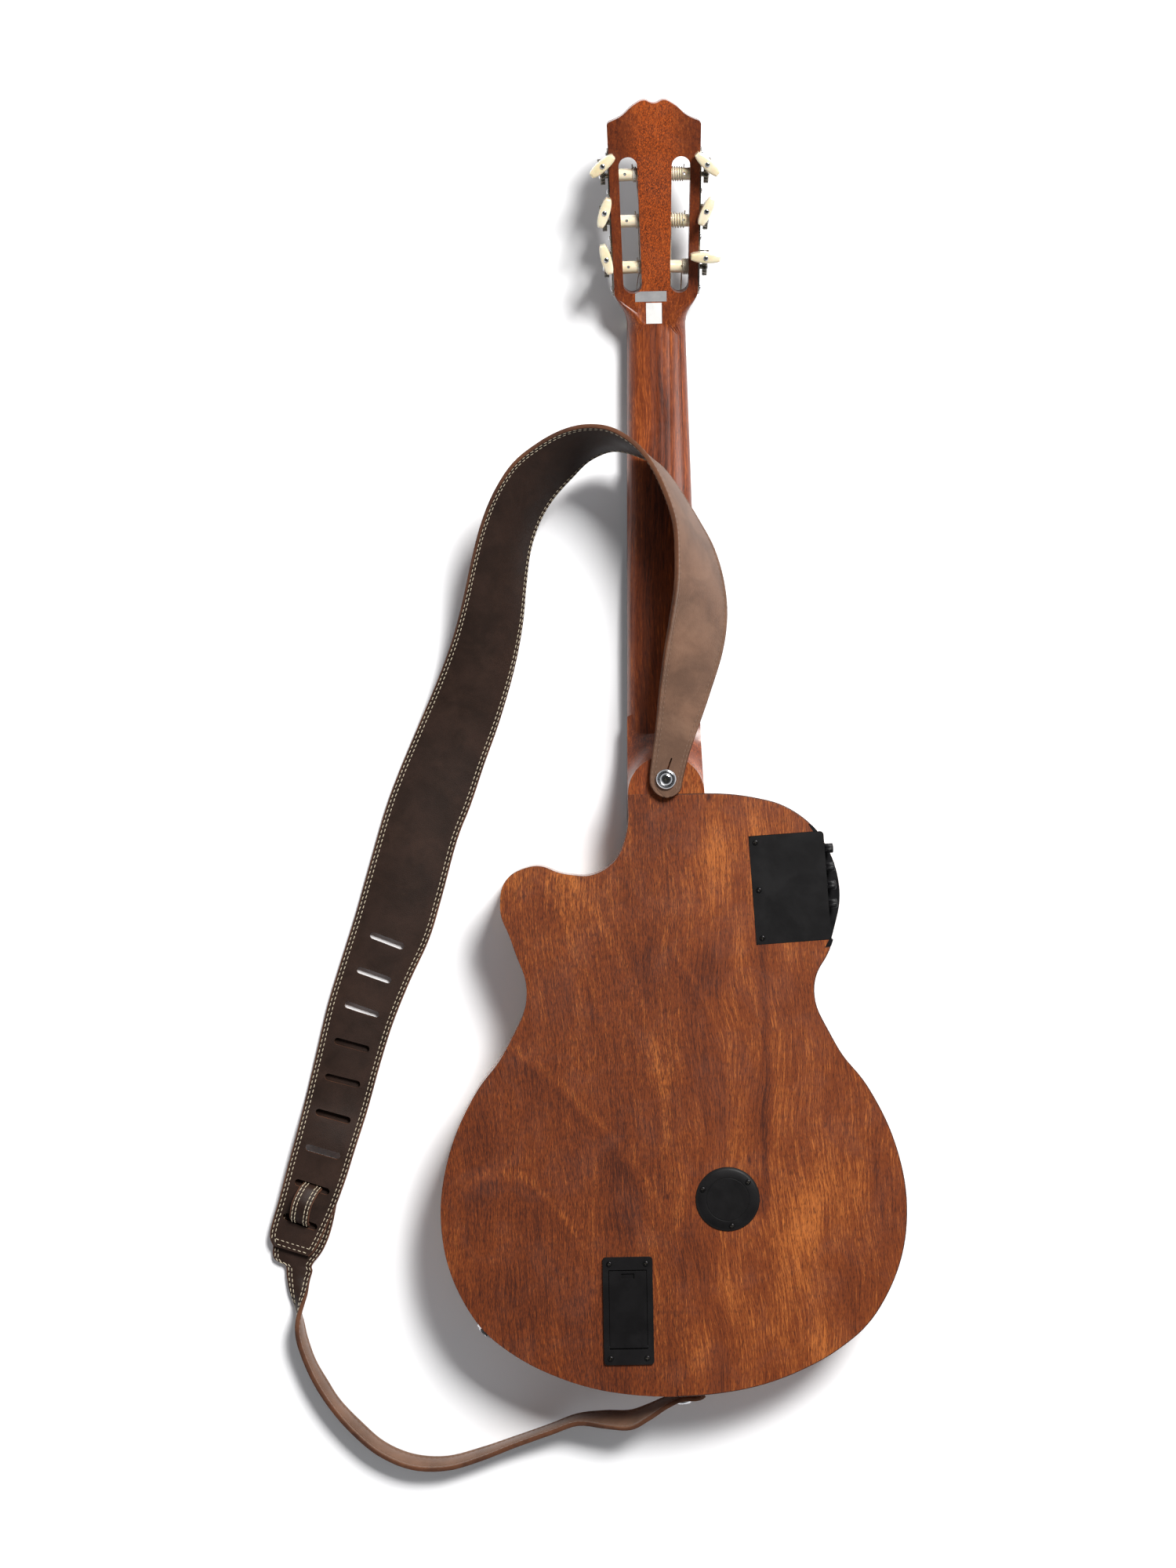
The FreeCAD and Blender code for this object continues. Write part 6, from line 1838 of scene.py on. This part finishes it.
@dataclass
class Strap:
    """The leather strap: long band, adjusting tail, tongue and stitching."""

    thickness: float = 3.5
    slot_start: float = 744.0
    slot_pitch: float = 28.4
    slot_count: int = 9
    slot_width: float = 5.4
    slot_length: float = 28.0
    pin_radius: float = 3.7
    heel_hole: Point = (0, -351.758, 58)
    slit: Point = (2.0, -342.5, 58)
    tail_hole: Point = (4.0, -810, 35)
    stitch_insets: tuple[float, ...] = (1.9, 4.3)
    stitch_pitch: float = 4.1
    stitch_length: float = 3.3
    stitch_depth: float = 0.18
    end_rows: tuple[int, ...] = (3, 5)
    # A strip under the lower slots that darkens them, as painted shade.
    tongue_half: float = 7.8
    slot_shade_start: float = -500.0
    slot_shade_end: float = -640.0
    slot_shade_z: float = 0.55
    start_route: tuple[Station, ...] = (
        ((-5, -364.5, 64.6), (6, -364.5, 64.6)), ((-10, -360, 64.6), (11, -360, 64.6)))
    long_route: tuple[Station, ...] = (
        ((-2, -365.6, 64.6), (3, -365.6, 64.6)),
        ((-6.5, -363.6, 64.6), (7.5, -363.6, 64.6)), ((-10.5, -359.5, 64.6), (11.4, -359.5, 64.6)),
        ((-12.7, -352, 64.6), (13, -352, 64.6)), ((-10.5, -334, 65), (18, -333, 64)),
        ((-7, -310, 68), (26, -311, 60)), ((-4, -284, 71), (35, -286, 55)),
        ((0, -257, 75), (45, -255, 49)), ((5, -230, 79), (49, -227, 40)),
        ((9, -206, 83), (47, -201, 34)), ((10, -184, 86), (40, -176, 31)),
        ((9, -160, 88), (29, -155, 30)), ((2, -136, 89), (14, -130, 29.5)),
        ((-8, -115, 89.5), (1, -113, 29)), ((-20, -100, 89.5), (-14, -104, 29)),
        ((-37, -89, 88.5), (-34, -99, 29)), ((-55, -86, 86), (-53, -106, 29)),
        ((-73, -89, 82), (-67, -119, 28)), ((-92, -98, 77), (-81, -134, 25)),
        ((-111, -112, 70), (-92, -151, 19)), ((-126, -133, 61), (-100, -173, 13)),
        ((-137, -158, 52), (-104, -199, 8)), ((-145, -185, 42), (-107, -227, 4)),
        ((-152, -212, 32), (-112, -254, 2)), ((-161, -241, 22), (-119, -281, LYING)),
        ((-173, -271, 12), (-128, -309, LYING)), ((-188, -304, 4.5), (-139, -338, LYING)),
        ((-204, -340, LYING), (-150, -369, LYING)), ((-216, -371, LYING), (-161, -396, LYING)),
        ((-231, -420, LYING), (-174, -441, LYING)), ((-241, -453, LYING), (-184, -472, LYING)),
        ((-252, -486, LYING), (-199, -503, LYING)), ((-263, -520, LYING), (-213, -536, LYING)),
        ((-272, -555, LYING), (-224, -569, LYING)), ((-281, -590, LYING), (-234, -603, LYING)),
        ((-289, -620, RAISED), (-244, -633, RAISED)), ((-296, -644, RAISED), (-252, -657, RAISED)),
        ((-303, -669, RAISED), (-262, -682, RAISED)), ((-311, -696, RAISED), (-275, -708, RAISED)),
        ((-309, -706, RAISED), (-281, -715, RAISED)),
    )
    tail_route: tuple[Station, ...] = (
        ((-290, -635.5, LYING), (-256, -645.5, LYING)), ((-295, -650, LYING), (-257, -662, LYING)),
        ((-303, -680, LYING), (-263, -692, LYING)), ((-308, -700, LYING), (-270, -710, LYING)),
        ((-309, -716, LYING), (-279, -722, LYING)), ((-300, -722, LYING), (-279, -727, LYING)),
        ((-299, -731, LYING), (-281, -734, 3.5)), ((-297, -742, LYING), (-283, -744, 9)),
        ((-292, -754, 1.3), (-287, -754, 17)), ((-288, -765, 1.2), (-290, -764, 20.6)),
        ((-285, -778, 1.2), (-290, -777, 20)), ((-279, -796, 1.2), (-285, -794, 19)),
        ((-270, -812, 1.2), (-277, -812, 19)), ((-260, -828, 1.2), (-265, -831, 19)),
        ((-244, -845, 1.2), (-249, -850, 19)), ((-226, -861, 1.2), (-229, -867, 19)),
        ((-203, -871, 1.2), (-204, -878, 19)), ((-177, -873, 1.2), (-177, -879, 19)),
        ((-151, -867, 1.2), (-151, -872, 19)), ((-125, -859, 1.3), (-125, -862, 20)),
        ((-97, -849.5, 3), (-97, -852, 23)), ((-76, -841, 8), (-76, -844.5, 28)),
        ((-55, -837.5, 13), (-55, -847, 31)), ((-36, -836.5, 18), (-36, -848, 34)),
        ((-22, -832, 21), (-22, -840, 39)), ((-8, -826.5, 23), (-8, -829.5, 45)),
        ((4, -823.8, 23), (4, -823.8, 47)),
        ((14, -823.7, 24), (14, -823.7, 46)), ((19, -823, 27), (19, -823, 43)),
        ((21.5, -822.2, 32), (21.5, -822.2, 38)),
    )

    def build(self) -> None:
        """Builds both bands, the tongue and all stitches."""
        band, samples = Band("strap_band", self.long_route, self.thickness).build()
        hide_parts("strap")
        corners = self.slot_corners()
        holes = [prism(self.slot_frame(number), corners, -3, 12) for number in range(self.slot_count)]
        holes.append(lathe(Frame(Vector(self.heel_hole)), [(self.pin_radius, 0), (self.pin_radius, 14)], 32))
        cut_out(band, holes, 2)
        slit = Frame(Vector(self.slit), Vector((0.93, -0.36, 0)), Vector((0.36, 0.93, 0)))
        cut_out(band, [prism(slit, oblong(0.55, 7), 0, 14)], 2)
        tail, tail_samples = Band("strap_tail_band", self.tail_route, self.thickness).build()
        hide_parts("strap_tail")
        end = Frame(Vector(self.tail_hole), X, Z, -Y)
        cut_out(tail, [lathe(end, [(self.pin_radius, 0), (self.pin_radius, 26)], 32)], 2)
        # Painted shade: the strip under the lower slots.
        self.build_slot_shade_strip()
        runs = [(samples, 3), (tail_samples, 2)]
        self.build_stitches("stitches_grain", runs + [(self.build_tongue(), 2)], 1, CREAM)
        self.build_stitches("stitches_flesh", runs, -1, TAN)

    def build_slot_shade_strip(self) -> None:
        """Lays a thin leather strip under the lower slots, which darkens them as painted shade under the strap.
        """
        stations = []
        for high, low in self.long_route:
            if self.slot_shade_end < high[1] < self.slot_shade_start:
                edges = (Vector(high).lerp(Vector(low), share) for share in (0.16, 0.84))
                stations.append(tuple((edge.x, edge.y, self.slot_shade_z) for edge in edges))
        Band("strap_slot_shade_strip", stations, 0.9, 4, 2.0).build()

    def along(self, distance: float) -> tuple[Vector, Vector]:
        """Finds a place on the strap's middle line.

        Args:
            distance: How far it is from the strap's start.

        Returns:
            The place, and the strap's heading there.
        """
        spots = [(Vector(a) + Vector(b)) / 2 for a, b in (*self.start_route, *self.long_route[3:])]
        for start, end in zip(spots, spots[1:]):
            if distance <= (end - start).length:
                break
            distance -= (end - start).length
        heading = (end - start).normalized()
        return start + heading * distance, heading

    def slot_frame(self, number: int) -> Frame:
        """The frame of a slot, on the floor and turned with the strap.

        Args:
            number: The slot's number from zero.

        Returns:
            Its frame.
        """
        spot, heading = self.along(self.slot_start + number * self.slot_pitch)
        flat = Vector((heading.x, heading.y, 0)).normalized()
        return Frame(Vector((spot.x, spot.y, 0)), flat, Vector((-flat.y, flat.x, 0)))

    def slot_corners(self) -> list[Flat]:
        """The long oval of a slot, across the strap.

        Returns:
            The oval's corners in the slot's frame.
        """
        half, ring = self.slot_width / 2, []
        for turn in (math.pi * step / 11.5 for step in range(24)):
            shift = math.copysign(self.slot_length / 2 - half, math.sin(turn))
            ring.append((half * math.cos(turn), half * math.sin(turn) + shift))
        return ring

    def build_tongue(self) -> list[Sample]:
        """Builds the narrow arched tongue that passes through the last two slots.

        Returns:
            The tongue's samples.
        """
        first, last = (self.slot_frame(self.slot_count - back).origin for back in (2, 1))
        run, heading = (last - first).length, (last - first).normalized()
        side, top = Vector((-heading.y, heading.x, 0)), RAISED + LYING + 1.6
        rise = ((-0.6, 2.2, 0.0), (-0.4, 5.0, 0.0), (0.3, top - 0.9, 0.0), (3.2, top + 3.0, 1.4))
        fall = tuple((run - forward, height, shift) for forward, height, shift in reversed(rise))
        stations = []
        for forward, height, shift in (*rise, (run * 0.5, top + 6.5, 2.8), *fall):
            middle = first + heading * forward - side * shift + Z * height
            stations.append((middle - side * self.tongue_half, middle + side * self.tongue_half))
        return Band("strap_tongue", stations, 2.4, 4, 2.6).build()[1]

    def build_stitches(self, name: str, runs: Sequence[tuple[list[Sample], int]], face: int,
                       finish: ThreadFinish) -> None:
        """Sews two rows of stitches along every band on one of its faces.

        Args:
            name: The piece's name.
            runs: Samples of each band with how many samples at each end stay bare.
            face: 1 for the grain side and -1 for the flesh side.
            finish: The thread.
        """
        shapes, lift = [], face * (self.thickness / 2 - self.stitch_depth)
        for samples, bare in runs:
            for edge, wanted in itertools.product((0, 1), self.stitch_insets):
                line = []
                for high, low, normal in samples[bare * 3: len(samples) - bare]:
                    near, far = (low, high) if edge else (high, low)
                    inset = min(wanted, (far - near).length * wanted / 15)
                    line.append((near + (far - near).normalized() * inset + normal * lift, normal * face))
                shapes += self.sew(line)
            for row in self.end_rows if samples is runs[0][0] else ():
                high, low, normal = samples[-row]
                inward = (low - high).normalized() * self.stitch_insets[1]
                ends = (high + inward, low - inward)
                shapes += self.sew([(end + normal * lift, normal * face) for end in ends])
        make_piece(name, joined(shapes), "guitar", [finish], crease=80)

    def sew(self, line: list[tuple[Vector, Vector]]) -> list[Shape]:
        """Puts stitches along a line at an even pitch.

        Args:
            line: Points with the direction away from the leather.

        Returns:
            The shape of each stitch.
        """
        shapes, travelled, wanted = [], 0.0, self.stitch_pitch / 2
        jitter = random.Random(11)
        for (a, up_a), (b, up_b) in zip(line, line[1:]):
            length = (b - a).length
            while length > 1e-6 and travelled + length >= wanted:
                share = (wanted - travelled) / length
                spot, up = a.lerp(b, share), up_a.lerp(up_b, share).normalized()
                heading = (b - a).normalized()
                heading = (heading + heading.cross(up) * jitter.uniform(0.02, 0.12)).normalized()
                shapes.append(self.stitch(spot, heading, up))
                wanted += self.stitch_pitch
            travelled += length
        return shapes

    def stitch(self, spot: Vector, heading: Vector, up: Vector) -> Shape:
        """One stitch: a short bowed thread whose ends sink into the leather.

        Args:
            spot: Its middle.
            heading: The way it runs.
            up: Away from the leather.

        Returns:
            Its points and faces.
        """
        side, half, sides, points = heading.cross(up).normalized(), self.stitch_length / 2, 6, []
        for share, lift, reach in ((-1.0, -0.35, 0.18), (-0.75, 0.06, 0.32), (0.0, 0.2, 0.36),
                                   (0.75, 0.06, 0.32), (1.0, -0.35, 0.18)):
            middle = spot + heading * (share * half) + up * lift
            points += [middle + side * (reach * math.cos(turn)) + up * (reach * 0.75 * math.sin(turn))
                       for turn in circle(sides)]
        return points, rings_to_faces(5, sides)


def main() -> None:
    """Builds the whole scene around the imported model."""
    logging.basicConfig(level=logging.INFO, format="%(name)s: %(message)s")
    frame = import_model()
    nodes = frame["nodes"]
    Leads().build()
    Studio().build()
    Strap().build()
    StrapButtons().build()
    WoodenParts(nodes).dress()
    Stickers(nodes["neck"]).build()
    heads = MachineHeads(nodes)
    heads.build()
    Strings(heads).build()
    CoverSurround().build()
    Electrics(nodes).build()
    Screws(nodes).build()


if __name__ == "__main__":
    main()
